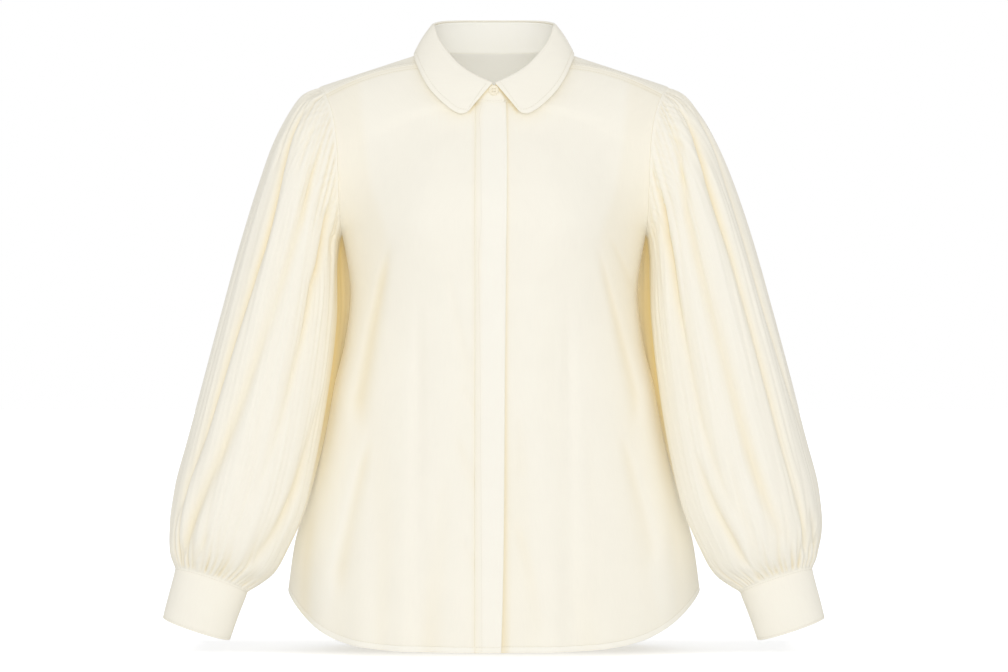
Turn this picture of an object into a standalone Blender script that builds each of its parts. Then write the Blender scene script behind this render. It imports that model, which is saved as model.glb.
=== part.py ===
"""A long-sleeved button-up blouse, filled out to its worn shape with nobody in it.

It is made of the pieces that a maker cuts: two fronts, a back, a yoke, two gathered
sleeves with cuffs, a collar on its stand, and a covered placket with its buttons.
Each piece is a wall of cloth, lofted through the sections in the tables below.

Lengths in the tables are in millimetres and angles in degrees. +X is the wearer's left,
the front faces -Y and +Z is up. The origin is midway between the two points where the
shoulder lines meet the neck. The tables describe the wearer's left half, which is
mirrored for the right half.
"""

import math

import bmesh
import bpy
import numpy as np

MM = 0.001
CLOTH = 1.3
COLLAR_CLOTH = 1.5
SEAM_GAP = 0.3

# Placket: the covered strip down the centre front, and the band and buttons beneath it.
COVER_EDGE = 13.8
PLACKET_SEAM = 20.85
BAND_SEAM = 11.8
BAND_EDGE = 18.0
MIDDLE_COLUMN = 7.0
COVER_COLUMNS = (-PLACKET_SEAM, -MIDDLE_COLUMN, MIDDLE_COLUMN, COVER_EDGE)
BAND_COLUMNS = (-BAND_EDGE, -MIDDLE_COLUMN, MIDDLE_COLUMN, BAND_SEAM)
BUTTON_ROOM = 2.4
TUCK = CLOTH + BUTTON_ROOM
TUCK_END = 62.0

# Buttons.
NECK_BUTTON_RADIUS = 5.8
NECK_BUTTON_THICK = 2.6
NECK_BUTTON_HEIGHT = -44.0
HIDDEN_BUTTON_RADIUS = 5.5
HIDDEN_BUTTON_THICK = 1.5
HIDDEN_BUTTON_HEIGHTS = (-122.0, -219.0, -322.0, -430.0, -528.0)
THREAD_HOLE_RADIUS = 0.75
THREAD_HOLE_OFFSET = 1.5
BUTTON_SIDES = 20

# Neckline, the seam between the body and the stand: an ellipse seen from above.
NECK_HALF_WIDTH = 78.0
NECK_HALF_DEPTH = 66.0
NECK_CENTRE_Y = -5.0

# Fold of the collar, also an ellipse seen from above.
FOLD_HALF_WIDTH = 69.5
FOLD_HALF_DEPTH = 62.0
FOLD_CENTRE_Y = -5.0
ROLL_HEIGHT = 2.6
LEAF_END_ANGLE = 1.2
LEAF_CORNER = 8.0
LEAF_BULGE = 1.5
LEAF_SHARES = (0.33, 0.7, 1.0)
ROLL_PROFILE = ((-1.5, 0.4), (-1.4, 1.7), (0.4, 2.6), (2.2, 1.3))
LEAF_CORNER_ANGLE = 8.0
STAND_END_HEIGHTS = (0.34, 0.62)
UNDER_END_HEIGHT = 0.5
NECK_ANGLES = (15.6, 32.0, 49.0, 66.0, 79.0, 96.0, 114.0, 132.0, 150.0, 170.0)

# Angle round the neck from the centre front, height of the neckline there, height of the
# fold, and the point of the collar's outer edge that lies below it.
COLLAR_ROWS = (
    # angle, seam_z, fold_z, edge_x, edge_y, edge_z
    (0.0, -58.0, -35.0, 31.5, -86.0, -74.0),
    (15.6, -55.0, -26.3, 46.0, -84.0, -67.0),
    (32.0, -46.0, -14.6, 61.0, -77.0, -54.5),
    (49.0, -29.0, 2.4, 75.0, -66.0, -38.0),
    (66.0, -11.5, 19.2, 85.0, -49.0, -19.5),
    (85.0, 4.0, 36.0, 92.0, -20.0, -0.5),
    (105.0, 8.0, 40.6, 92.5, 14.0, 4.5),
    (130.0, 9.0, 45.2, 76.0, 54.0, 4.0),
    (155.0, 9.2, 47.5, 42.0, 82.0, 3.0),
    (180.0, 9.4, 48.1, 0.0, 91.0, 2.5),
)

# Armhole, the seam between the body and a sleeve. Its angle runs from the top of the
# shoulder (0) down the front (90) to the underarm (180) and up the back (270).
ARMHOLE_CENTRE_Y = 5.0
ARMHOLE_CENTRE_Z = -118.25
ARMHOLE_HALF_DEPTH = 64.0
ARMHOLE_HALF_HEIGHT = 84.75
ARMHOLE_X = 176.5
ARMHOLE_SHOULDER_OUT = 22.0
ARMHOLE_UNDERARM_IN = 1.5
ARMHOLE_STEP = 15.0

# Body below the underarm: height and half width at the side seam, height and depth at
# the centre front and the centre back, and how late the hem turns up to the side.
SKIRT_ROWS = (
    # side_z, half_width, front_z, front_y, back_z, back_y, corner
    (-613.0, 237.0, -671.5, -150.0, -680.0, 134.0, 6.0),
    (-560.0, 229.5, -606.0, -144.0, -614.0, 126.0, 5.0),
    (-500.0, 212.5, -536.0, -137.0, -541.0, 115.0, 4.0),
    (-440.0, 197.0, -467.0, -131.0, -468.0, 104.0, 3.0),
    (-380.0, 184.5, -399.0, -125.0, -399.0, 95.0, 2.5),
    (-325.0, 171.0, -337.0, -121.0, -336.0, 91.0, 2.0),
    (-270.0, 165.0, -274.0, -121.0, -273.0, 94.0, 2.0),
    (-203.0, 175.0, -204.0, -124.0, -204.0, 106.0, 2.0),
)

# Front above the underarm: angle of the row's end on the armhole, height and depth at
# the centre front, angle of its start on the neckline, and how far the row turns.
CHEST_ROWS = (
    # armhole_angle, front_z, front_y, neck_angle, turn
    (165.0, -181.0, -122.0, 0.0, 83.0),
    (150.0, -158.0, -117.0, 0.0, 76.0),
    (135.0, -135.0, -109.0, 0.0, 69.0),
    (120.0, -111.0, -98.0, 0.0, 62.0),
    (105.0, -85.0, -84.0, 0.0, 56.0),
    (90.0, -58.0, -71.0, 0.0, 51.0),
    (75.0, -58.0, -71.0, 15.6, 47.0),
    (60.0, -58.0, -71.0, 32.0, 43.0),
    (45.0, -58.0, -71.0, 49.0, 38.0),
    (30.0, -58.0, -71.0, 66.0, 32.0),
)

# Back above the underarm, up to the yoke's seam.
SHOULDER_BLADE_ROWS = (
    # armhole_angle, back_z, back_y, turn
    (195.0, -187.0, 108.5, 81.0),
    (210.0, -172.0, 110.0, 73.0),
    (225.0, -158.0, 110.5, 66.0),
    (240.0, -144.0, 110.0, 60.0),
    (255.0, -131.0, 108.5, 56.0),
    (270.0, -118.0, 106.0, 53.0),
    (285.0, -106.0, 103.0, 51.0),
    (300.0, -96.0, 100.0, 50.0),
)
NECK_ROW = len(SKIRT_ROWS) + 5
BODY_COLUMNS = 8
BACK_COLUMNS = 7
SIDE_SEAM_Y = 5.0
LEFT_HEM_ROUNDNESS = 0.85

# Fullness of the chest, a soft dome on each front.
BUST_X = 86.0
BUST_Z = -188.0
BUST_WIDTH = 56.0
BUST_HEIGHT = 72.0
BUST_DEPTH = 14.0

# Yoke: the neckline angles of its columns, and how far it bows out between its edges.
YOKE_NECK_ANGLES = (66.0, 72.0, 79.0, 87.0, 96.0, 105.0, 114.0)
YOKE_BACK_NECK_ANGLES = (123.0, 132.0, 141.0, 150.0, 160.0, 170.0, 180.0)
YOKE_ROWS = 4
YOKE_SHOULDER_BOW = 3.0
YOKE_BACK_BOW = 7.0

# Sleeve sections: the outer and inner ends of the section seen from the front, its
# middle depth, its reach to the front and to the back, how much the front is raised,
# how far its back inner corner tucks in behind the body's side, and how much further
# out the wearer's left sleeve hangs than the right one, halved.
SLEEVE_ROWS = (
    # outer_x, outer_z, inner_x, inner_z, mid_y, front, back, lift, tuck, spread
    (198.5, -33.5, 175.0, -203.0, 5.0, 64.0, 64.0, 0.0, 0.0, 0.0),
    (218.5, -42.0, 176.0, -207.0, 4.0, 75.0, 74.0, 0.0, 8.0, 0.0),
    (238.0, -66.5, 177.0, -214.0, 2.0, 82.0, 79.0, 0.0, 18.0, 0.6),
    (256.0, -101.0, 177.5, -228.0, -1.0, 84.0, 81.0, 0.0, 27.0, 1.7),
    (273.0, -147.0, 178.0, -251.0, -5.0, 82.0, 81.0, 1.0, 32.0, 2.9),
    (294.5, -216.0, 178.0, -287.0, -12.0, 78.0, 79.0, 2.0, 37.0, 3.5),
    (313.0, -285.0, 180.5, -330.0, -22.0, 76.0, 77.0, 3.0, 32.0, 3.5),
    (332.5, -360.5, 186.5, -386.0, -34.0, 76.0, 76.0, 4.0, 20.0, 3.5),
    (351.5, -438.5, 198.5, -462.0, -48.0, 76.0, 76.0, 6.0, 10.0, 3.2),
    (364.5, -493.5, 211.0, -517.0, -58.0, 74.0, 74.0, 7.0, 4.0, 3.0),
    (369.0, -536.0, 229.0, -559.5, -66.0, 66.0, 66.0, 8.0, 0.0, 2.0),
    (366.0, -565.0, 247.0, -589.5, -71.0, 52.0, 52.0, 8.0, 0.0, 0.0),
    (359.0, -583.5, 277.5, -609.5, -74.0, 33.0, 33.0, 7.5, 0.0, 0.0),
)
CUFF_BOTTOM = (372.0, -637.5, 296.5, -662.5, -84.0, 31.0, 31.0, -0.5, 0.0, 0.0)
SLEEVE_SIDES = 48
CUFF_SIDES = 24
ARMHOLE_BLEND_ROWS = 2.0

# Main folds of a sleeve: the angle of each valley round the section and its depth, near
# the shoulder, at the elbow and near the cuff, and its half width in degrees.
SLEEVE_FOLDS = (
    # shoulder, elbow, cuff, shoulder_depth, elbow_depth, cuff_depth, half_width
    (14.0, 21.0, 12.0, 2.0, 5.0, 4.0, 7.0),
    (38.0, 55.0, 30.0, 6.0, 8.0, 5.0, 8.0),
    (86.0, 79.0, 52.0, 7.0, 7.0, 6.0, 9.0),
    (119.0, 109.0, 88.0, 9.0, 9.0, 4.0, 8.0),
    (146.0, 152.0, 128.0, 3.0, 4.0, 6.0, 10.0),
    (196.0, 190.0, 172.0, 3.0, 5.0, 5.0, 10.0),
    (228.0, 222.0, 206.0, 6.0, 7.0, 5.0, 9.0),
    (256.0, 252.0, 240.0, 8.0, 6.0, 6.0, 9.0),
    (286.0, 285.0, 276.0, 6.0, 8.0, 5.0, 8.0),
    (318.0, 312.0, 308.0, 8.0, 7.0, 5.0, 9.0),
    (342.0, 338.0, 340.0, 3.0, 5.0, 4.0, 8.0),
)
FOLD_STATIONS = (1.5, 6.0, 10.5)
FOLD_FADE_ROWS = 1.2

# Main folds of the body, as seen from the front or the back: top and bottom of each
# valley, how far it bows outwards half way, its half width and its depth.
FRONT_FOLDS = (
    # top_x, top_z, bottom_x, bottom_z, bow, half_width, depth
    (118.0, -225.0, 158.0, -400.0, -4.0, 13.0, 5.0),
    (124.0, -395.0, 184.0, -620.0, -6.0, 14.0, 6.0),
    (84.0, -270.0, 88.0, -684.0, 3.0, 15.0, 4.0),
)
BACK_FOLDS = (
    # top_x, top_z, bottom_x, bottom_z, bow, half_width, depth
    (110.0, -250.0, 150.0, -640.0, 4.0, 16.0, 6.0),
    (55.0, -300.0, 70.0, -680.0, 2.0, 16.0, 5.0),
)

CLOTH_COLOUR = (0.91, 0.88, 0.78, 1.0)
BUTTON_COLOUR = (0.88, 0.82, 0.68, 1.0)
RIGHT, LEFT = -1.0, 1.0
SHARP_ANGLE = math.radians(50.0)


# ---------------------------------------------------------------- numbers and tables


def column(table, index):
    return np.array([row[index] for row in table], float)


def smooth(stations, values, at):
    """Monotone cubic through values at the stations, read at the given places."""
    stations = np.asarray(stations, float)
    values = np.asarray(values, float)
    at = np.clip(np.asarray(at, float), stations[0], stations[-1])
    step = np.diff(stations)
    slope = np.diff(values) / step
    tangent = np.zeros_like(values)
    same_way = slope[:-1] * slope[1:] > 0
    weight_a = 2 * step[1:] + step[:-1]
    weight_b = step[1:] + 2 * step[:-1]
    safe = np.where(same_way, slope[:-1], 1.0), np.where(same_way, slope[1:], 1.0)
    mean = (weight_a + weight_b) / (weight_a / safe[0] + weight_b / safe[1])
    tangent[1:-1] = np.where(same_way, mean, 0.0)
    tangent[0], tangent[-1] = slope[0], slope[-1]
    index = np.clip(np.searchsorted(stations, at, side="right") - 1, 0, len(step) - 1)
    t = (at - stations[index]) / step[index]
    return (
        values[index] * (1 + 2 * t) * (1 - t) ** 2
        + values[index + 1] * t**2 * (3 - 2 * t)
        + step[index] * tangent[index] * t * (1 - t) ** 2
        - step[index] * tangent[index + 1] * t**2 * (1 - t)
    )


def ease(t):
    """Smooth step from 0 to 1."""
    t = np.clip(t, 0.0, 1.0)
    return t * t * (3 - 2 * t)


def stack(x, y, z):
    return np.stack(np.broadcast_arrays(x, y, z), axis=-1).astype(float)


def unit(vectors):
    return vectors / np.maximum(np.linalg.norm(vectors, axis=-1, keepdims=True), 1e-9)


def mirrored(points, side):
    return points * (side, 1.0, 1.0)


# ---------------------------------------------------------------- seams


def neckline(angle):
    """Points of the neckline. Angles below 0 or over 180 lie on the wearer's right."""
    turn = np.radians(angle)
    folded = 180 - np.abs(np.mod(angle, 360) - 180)
    x = NECK_HALF_WIDTH * np.sin(turn)
    y = NECK_CENTRE_Y - NECK_HALF_DEPTH * np.cos(turn)
    return stack(x, y, smooth(column(COLLAR_ROWS, 0), column(COLLAR_ROWS, 1), folded))


def armhole(angle):
    """Points of the armhole seam on the wearer's left."""
    turn = np.radians(angle)
    high = (1 + np.cos(turn)) / 2
    x = ARMHOLE_X + ARMHOLE_SHOULDER_OUT * high**5 - ARMHOLE_UNDERARM_IN * (1 - high) ** 3
    y = ARMHOLE_CENTRE_Y - ARMHOLE_HALF_DEPTH * np.sin(turn)
    z = ARMHOLE_CENTRE_Z + ARMHOLE_HALF_HEIGHT * np.cos(turn)
    return stack(x, y, z)


def tuck(x):
    """How far the wearer's left front steps back, to pass under the placket."""
    return TUCK * (1 - ease((x - COVER_EDGE) / (TUCK_END - COVER_EDGE)))


# ---------------------------------------------------------------- body surfaces


def body_rows(front):
    """Columns of the front's or the back's rows, from the hem to the yoke's seam."""
    skirt = np.array(SKIRT_ROWS)
    chest = np.array(CHEST_ROWS if front else SHOULDER_BLADE_ROWS)
    upper = np.ones(len(chest))
    centre = 2 if front else 4
    return {
        "start_z": np.concatenate([skirt[:, centre], chest[:, 1]]),
        "start_y": np.concatenate([skirt[:, centre + 1], chest[:, 2]]),
        "neck_angle": np.concatenate([0 * skirt[:, 0], chest[:, 3] if front else 0 * upper]),
        "end_x": np.concatenate([skirt[:, 1], skirt[-1, 1] * upper]),
        "end_z": np.concatenate([skirt[:, 0], skirt[-1, 0] * upper]),
        "armhole_angle": np.concatenate([180 + 0 * skirt[:, 0], chest[:, 0]]),
        "turn": np.concatenate([90 + 0 * skirt[:, 0], chest[:, -1]]),
        "corner": np.concatenate([skirt[:, 6], skirt[-1, 6] * upper]),
    }


def valleys(folds, x, z):
    """Depth of the folds in a table like FRONT_FOLDS at places seen from the front."""
    depth = np.zeros(np.broadcast(x, z).shape)
    for top_x, top_z, bottom_x, bottom_z, bow, half_width, most in folds:
        along = (z - top_z) / (bottom_z - top_z)
        inside = np.clip(along, 0, 1)
        middle = top_x + (bottom_x - top_x) * inside + bow * np.sin(np.pi * inside)
        spread = half_width * (0.6 + 0.8 * inside)
        fade = ease(along / 0.3) * ease((1.25 - along) / 0.3)
        depth += most * fade * np.exp(-(((x - middle) / spread) ** 2))
    return depth


def body_surface(front, level, across, roundness=1.0):
    """Points of the wearer's left half of the front or back.

    level counts rows of the table, hem first. across runs along a row, from 0 at the
    centre or the neckline to 1 at the side seam or the armhole. A row is the part of an
    ellipse that turns through the table's angle.
    """
    rows = body_rows(front)
    stations = np.arange(len(rows["turn"]))
    at = {name: smooth(stations, values, level) for name, values in rows.items()}
    start = stack(0.0 * at["start_y"], at["start_y"], at["start_z"])
    start = start + neckline(at["neck_angle"]) - neckline(0.0 * at["neck_angle"])
    end = stack(at["end_x"], SIDE_SEAM_Y, at["end_z"])
    end = end + armhole(at["armhole_angle"]) - armhole(180.0)
    turn = np.radians(at["turn"])
    along = np.sin(across * turn) / np.sin(turn)
    inward = (1 - np.cos(across * turn)) / (1 - np.cos(turn))
    x = start[..., 0] + (end[..., 0] - start[..., 0]) * along
    y = start[..., 1] + (end[..., 1] - start[..., 1]) * inward
    z = start[..., 2] + (end[..., 2] - start[..., 2]) * along ** (at["corner"] * roundness)
    inner = 1 - across**8
    if front:
        dome = np.exp(-(((x - BUST_X) / BUST_WIDTH) ** 2) - ((z - BUST_Z) / BUST_HEIGHT) ** 2)
        y = y + inner * (valleys(FRONT_FOLDS, x, z) - BUST_DEPTH * dome)
    else:
        y = y - inner * valleys(BACK_FOLDS, x, z)
    return stack(x, y, z)


def across_at(level, x):
    """Where the front's row at this level passes the given x, or 0 if it starts beyond."""
    rows = body_rows(True)
    stations = np.arange(len(rows["turn"]))
    turn = np.radians(smooth(stations, rows["turn"], level))
    start = neckline(smooth(stations, rows["neck_angle"], level))[..., 0]
    end = smooth(stations, rows["end_x"], level)
    end = end + armhole(smooth(stations, rows["armhole_angle"], level))[..., 0]
    end = end - armhole(180.0)[0]
    share = np.clip((x - start) / (end - start), 0, 1)
    return np.arcsin(share * np.sin(turn)) / turn


def row_levels(front):
    """Levels of all the rows of the front or the back."""
    upper = CHEST_ROWS if front else SHOULDER_BLADE_ROWS
    return np.arange(len(SKIRT_ROWS) + len(upper))[:, None].astype(float)


def front_grid(side):
    """Front panel from the placket to the side seam, hem row first."""
    seam_x = PLACKET_SEAM if side == RIGHT else BAND_SEAM
    levels = row_levels(True)
    first = across_at(levels, seam_x)
    across = first + (1 - first) * np.linspace(0, 1, BODY_COLUMNS + 1)
    roundness = np.where((levels < 1) & (side == LEFT), LEFT_HEM_ROUNDNESS, 1.0)
    points = body_surface(True, levels, across, roundness)
    points[-1, 1::2] = (points[-1, :-1:2] + points[-1, 2::2]) / 2
    if side == LEFT:
        points[..., 1] += tuck(points[..., 0])
    return mirrored(points, side)


def placket_grid(columns, step):
    """Strip of the centre front with its columns at these x, stepped back by step."""
    levels = row_levels(True)[:NECK_ROW]
    x = np.array(columns)
    points = body_surface(True, levels, across_at(levels, np.abs(x)))
    points[..., 0] = x
    top = neckline(np.degrees(np.arcsin(x / NECK_HALF_WIDTH)))
    points = np.concatenate([points, top[None]])
    points[..., 1] += step
    return points


def back_grid():
    """Back panel from the wearer's right side to the left, hem row first."""
    half = body_surface(False, row_levels(False), np.linspace(0, 1, BACK_COLUMNS + 1))
    return np.concatenate([mirrored(half, RIGHT)[:, :0:-1], half], axis=1)


def yoke_grid(front_edge, back_edge):
    """Yoke from one front seam, round the back of the neck, to the other.

    Its rows run from the neckline to the armholes and the back's seam.
    """
    inner = neckline(np.array(YOKE_NECK_ANGLES + YOKE_BACK_NECK_ANGLES))
    shoulder = armhole(np.arange(30.0, -61.0, -ARMHOLE_STEP))
    outer = np.concatenate([shoulder, back_edge[-2::-1]])
    share = np.linspace(0, 1, YOKE_ROWS + 1)[:, None, None]
    half = inner + (outer - inner) * share
    behind = ease((np.arange(len(inner)) - 3) / 8.0)
    bow = 4 * share[..., 0] * (1 - share[..., 0])
    half[..., 2] += bow * YOKE_SHOULDER_BOW
    half[..., 1] += bow * YOKE_BACK_BOW * behind
    half[:, 0] = front_edge
    return np.concatenate([half, mirrored(half, RIGHT)[:, -2::-1]], axis=1)


# ---------------------------------------------------------------- sleeves and cuffs


def section(row, angle, side):
    """Closed section of a sleeve or cuff from the columns of SLEEVE_ROWS."""
    outer_x, outer_z, inner_x, inner_z, mid_y, front, back, lift, tuck_in, spread = row
    turn = np.radians(angle)
    out, ahead = np.cos(turn), np.sin(turn)
    share = (1 + out) / 2
    reach = np.where(ahead > 0, front, back)
    corner = 2.6 * np.maximum(-out, 0) * np.maximum(-ahead, 0) ** 2
    x = inner_x + (outer_x + side * spread - inner_x) * share - tuck_in * corner
    z = inner_z + (outer_z - inner_z) * share + lift * ahead
    return stack(x, mid_y - reach * ahead, z)


def sleeve_folds(level, angle):
    """Depth of the sleeve's folds below its full section."""
    depth = 0.0
    for row in SLEEVE_FOLDS:
        middle = smooth(FOLD_STATIONS, row[0:3], level)
        most = smooth(FOLD_STATIONS, row[3:6], level)
        apart = np.mod(angle - middle + 180, 360) - 180
        depth = depth + most * np.exp(-((apart / row[6]) ** 2))
    last = len(SLEEVE_ROWS) - 1
    return depth * ease(level / FOLD_FADE_ROWS) * ease((last - level) / FOLD_FADE_ROWS)


def sleeve_surface(level, angle, side):
    """Points of a sleeve, before mirroring. level counts the rows of SLEEVE_ROWS."""
    stations = np.arange(len(SLEEVE_ROWS))
    row = [smooth(stations, column(SLEEVE_ROWS, n), level) for n in range(10)]
    points = section(row, angle, side)
    seam = armhole(angle) - section(SLEEVE_ROWS[0], angle, side)
    points = points + seam * (1 - ease(level / ARMHOLE_BLEND_ROWS))[..., None]
    middle = stack((row[0] + row[2]) / 2, row[4], (row[1] + row[3]) / 2)
    return points + unit(middle - points) * sleeve_folds(level, angle)[..., None]


def sleeve_grid(side):
    """Sleeve from the armhole to the cuff's seam, before mirroring."""
    levels = np.arange(len(SLEEVE_ROWS))[:, None].astype(float)
    angles = np.arange(SLEEVE_SIDES) * 360.0 / SLEEVE_SIDES
    points = sleeve_surface(levels, angles, side)
    for ring in (0, -1):
        points[ring, 1::2] = (points[ring, ::2] + np.roll(points[ring, ::2], -1, axis=0)) / 2
    return points


def cuff_grid(side):
    """Cuff from its seam with the sleeve to its open edge, before mirroring."""
    angles = np.arange(CUFF_SIDES) * 360.0 / CUFF_SIDES
    top = section(SLEEVE_ROWS[-1], angles, side)
    bottom = section(CUFF_BOTTOM, angles, side)
    return np.stack([top, (top + bottom) / 2, bottom])


# ---------------------------------------------------------------- collar and stand


def collar_point(index, angle):
    """A height or an edge coordinate of COLLAR_ROWS at an angle round the neck."""
    folded = 180 - np.abs(np.mod(angle, 360) - 180)
    return smooth(column(COLLAR_ROWS, 0), column(COLLAR_ROWS, index), folded)


def fold_line(angle):
    """Outer face of the stand's top edge, just under the collar's roll."""
    turn = np.radians(angle)
    x = FOLD_HALF_WIDTH * np.sin(turn)
    y = FOLD_CENTRE_Y - FOLD_HALF_DEPTH * np.cos(turn)
    return stack(x, y, collar_point(2, angle) - ROLL_HEIGHT)


def neck_outward(angle):
    """Level unit vectors that point away from the neck, square to the fold's ellipse."""
    turn = np.radians(angle)
    x = np.sin(turn) / FOLD_HALF_WIDTH
    y = -np.cos(turn) / FOLD_HALF_DEPTH
    return unit(stack(x, y, 0.0 * turn))


def angle_at(x):
    """Angle of the neckline, in degrees, where it passes this x near the centre front."""
    return math.degrees(math.asin(x / NECK_HALF_WIDTH))


def stand_angles():
    """Angles of the stand's columns, from its outer end, round by the wearer's right."""
    middle = angle_at(MIDDLE_COLUMN)
    outer_end = [angle_at(COVER_EDGE), middle, 0.0, -middle]
    right = [-angle for angle in NECK_ANGLES]
    left = [angle - 360 for angle in reversed(NECK_ANGLES)]
    under_end = [angle_at(BAND_SEAM), middle, 0.0, -middle, -angle_at(BAND_EDGE)]
    under_end = [angle - 360 for angle in under_end]
    return np.array(outer_end + right + [-180.0] + left + under_end)


def stand_grid():
    """Stand from the neckline to its top edge. Its rounded ends overlap in front."""
    angles = stand_angles()
    bottom = neckline(angles)
    bottom[2] = (bottom[1] + bottom[3]) / 2
    bottom[-3] = (bottom[-4] + bottom[-2]) / 2
    height = np.ones(len(angles))
    height[:2] = STAND_END_HEIGHTS
    height[-1] = UNDER_END_HEIGHT
    top = bottom + (fold_line(angles) - bottom) * height[:, None]
    points = bottom + (top - bottom) * np.linspace(0, 1, 3)[:, None, None]
    is_under = angles < -270
    under_x = np.where(angles < -360, 0.0, points[..., 0])
    points[..., 1] += np.where(is_under, tuck(under_x), 0.0)
    return points


def leaf_grid():
    """Collar leaf: it leaves the stand's top edge, rolls over and falls to its edge."""
    half = [LEAF_END_ANGLE, LEAF_CORNER_ANGLE, *NECK_ANGLES]
    angles = np.array(half + [180.0] + [360 - angle for angle in reversed(half)])
    fold = fold_line(angles)
    outward = neck_outward(angles)
    upward = np.array([0.0, 0.0, 1.0])
    side = np.where(angles > 180, -1.0, 1.0)
    edge = stack(side * collar_point(3, angles), collar_point(4, angles), collar_point(5, angles))
    hidden = np.where(angles < 90, tuck(fold[:, 0]), 0.0)[:, None]
    roll = [fold + outward * (out - hidden * (out < 0)) + upward * up for out, up in ROLL_PROFILE]
    start = roll[-1]
    reach = leaf_reach(start, edge)
    square = unit(np.cross(edge - start, np.gradient(start, axis=0)))
    square = square * np.sign((square * outward).sum(axis=1, keepdims=True))
    fall = []
    for share in LEAF_SHARES:
        part = share * reach[:, None]
        fall.append(start + (edge - start) * part + square * LEAF_BULGE * 4 * part * (1 - part))
    return np.stack(roll + fall)


def leaf_reach(start, edge):
    """Share of each column's length that is left once the leaf's corner is rounded."""
    from_front = np.linalg.norm(edge - edge[0], axis=1)
    from_front = np.minimum(from_front, np.linalg.norm(edge - edge[-1], axis=1))
    into = np.clip(1 - from_front / LEAF_CORNER, 0, 1)
    cut = LEAF_CORNER * (1 - np.sqrt(1 - into**2))
    return 1 - cut / np.linalg.norm(edge - start, axis=1)


# ---------------------------------------------------------------- walls of cloth


def grid_normals(points, closed):
    """Unit normals of a grid of points, from the directions of its rows and columns."""
    if closed:
        wrapped = np.concatenate([points[:, -1:], points, points[:, :1]], axis=1)
        across = np.gradient(wrapped, axis=1)[:, 1:-1]
    else:
        across = np.gradient(points, axis=1)
    return unit(np.cross(across, np.gradient(points, axis=0)))


def facing(normals, points, centre):
    """The normals, all turned away from a point inside the garment, as one piece."""
    outward = ((points - centre) * normals).sum()
    return normals * (1.0 if outward > 0 else -1.0)


def share_seam_normals(grids, normals):
    """Gives grid points that meet at a seam the mean of their normals."""
    where = []
    for name, grid in grids.items():
        edge = np.ones(grid.shape[:2], bool)
        edge[1:-1, 1:-1] = False
        where += [(name, row, col) for row, col in np.argwhere(edge)]
    places = np.array([grids[name][row, col] for name, row, col in where])
    ways = np.array([normals[name][row, col] for name, row, col in where])
    for (name, row, col), place in zip(where, places):
        near = np.linalg.norm(places - place, axis=1) < 0.1
        normals[name][row, col] = unit(ways[near].sum(axis=0))


def pull_in(points, edges):
    """Moves the chosen edges back by half the seam gap. edges names rows and columns."""
    moved = points.copy()
    half = SEAM_GAP / 2
    for edge in edges:
        here, there = {
            "first_row": (np.s_[0], np.s_[1]),
            "last_row": (np.s_[-1], np.s_[-2]),
            "first_column": (np.s_[:, 0], np.s_[:, 1]),
            "last_column": (np.s_[:, -1], np.s_[:, -2]),
        }[edge]
        moved[here] += unit(points[there] - points[here]) * half
    return moved


def material_for(name, colour, roughness):
    material = bpy.data.materials.new(name)
    material.use_nodes = True
    shader = material.node_tree.nodes["Principled BSDF"]
    shader.inputs["Base Color"].default_value = colour
    shader.inputs["Roughness"].default_value = roughness
    shader.inputs["Metallic"].default_value = 0.0
    return material


def mesh_object(name, points, faces, colour, roughness):
    """Closed body from points in millimetres, with its faces turned outwards."""
    mesh = bpy.data.meshes.new(name)
    mesh.from_pydata([tuple(point) for point in points * MM], [], faces)
    body = bmesh.new()
    body.from_mesh(mesh)
    bmesh.ops.recalc_face_normals(body, faces=body.faces)
    body.to_mesh(mesh)
    body.free()
    mesh.shade_smooth()
    mesh.set_sharp_from_angle(angle=SHARP_ANGLE)
    mesh.materials.append(material_for(name, colour, roughness))
    piece = bpy.data.objects.new(name, mesh)
    bpy.context.collection.objects.link(piece)
    return piece


def cloth_wall(name, outer, inner, closed=False):
    """Wall between two grids of points, closed round its rims."""
    rows, columns = outer.shape[:2]
    points = np.concatenate([outer.reshape(-1, 3), inner.reshape(-1, 3)])
    inside = rows * columns
    spans = columns if closed else columns - 1

    def at(row, col, layer):
        return layer * inside + row * columns + col % columns

    faces = []
    for row in range(rows - 1):
        for col in range(spans):
            quad = [at(row, col, 0), at(row, col + 1, 0), at(row + 1, col + 1, 0), at(row + 1, col, 0)]
            faces.append(quad)
            faces.append([corner + inside for corner in reversed(quad)])
    for row in (0, rows - 1):
        for col in range(spans):
            faces.append([at(row, col, 0), at(row, col, 1), at(row, col + 1, 1), at(row, col + 1, 0)])
    if not closed:
        for col in (0, columns - 1):
            for row in range(rows - 1):
                faces.append([at(row, col, 0), at(row + 1, col, 0), at(row + 1, col, 1), at(row, col, 1)])
    return mesh_object(name, points, faces, CLOTH_COLOUR, 0.85)


def button(name, centre, outward, radius, thickness, holes=False):
    """Round button whose back face lies at centre, with four thread holes if asked."""
    across = unit(np.cross(outward, (0.0, 0.0, 1.0)))
    up = np.cross(across, outward)
    turns = np.arange(BUTTON_SIDES) * 2 * np.pi / BUTTON_SIDES
    ring = np.cos(turns)[:, None] * across + np.sin(turns)[:, None] * up
    bevel = 0.25 * thickness
    widths = (radius - bevel, radius, radius, radius - bevel)
    heights = (0.0, bevel, thickness - bevel, thickness)
    rings = [centre + ring * wide + outward * high for wide, high in zip(widths, heights)]
    count = BUTTON_SIDES
    faces = [list(range(count)), list(range(3 * count, 4 * count))]
    for level in range(3):
        for n in range(count):
            low, far = level * count + n, level * count + (n + 1) % count
            faces.append([low, far, far + count, low + count])
    piece = mesh_object(name, np.concatenate(rings), faces, BUTTON_COLOUR, 0.35)
    if holes:
        drill_thread_holes(piece, centre, across, up, outward, thickness)
    return piece


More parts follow.
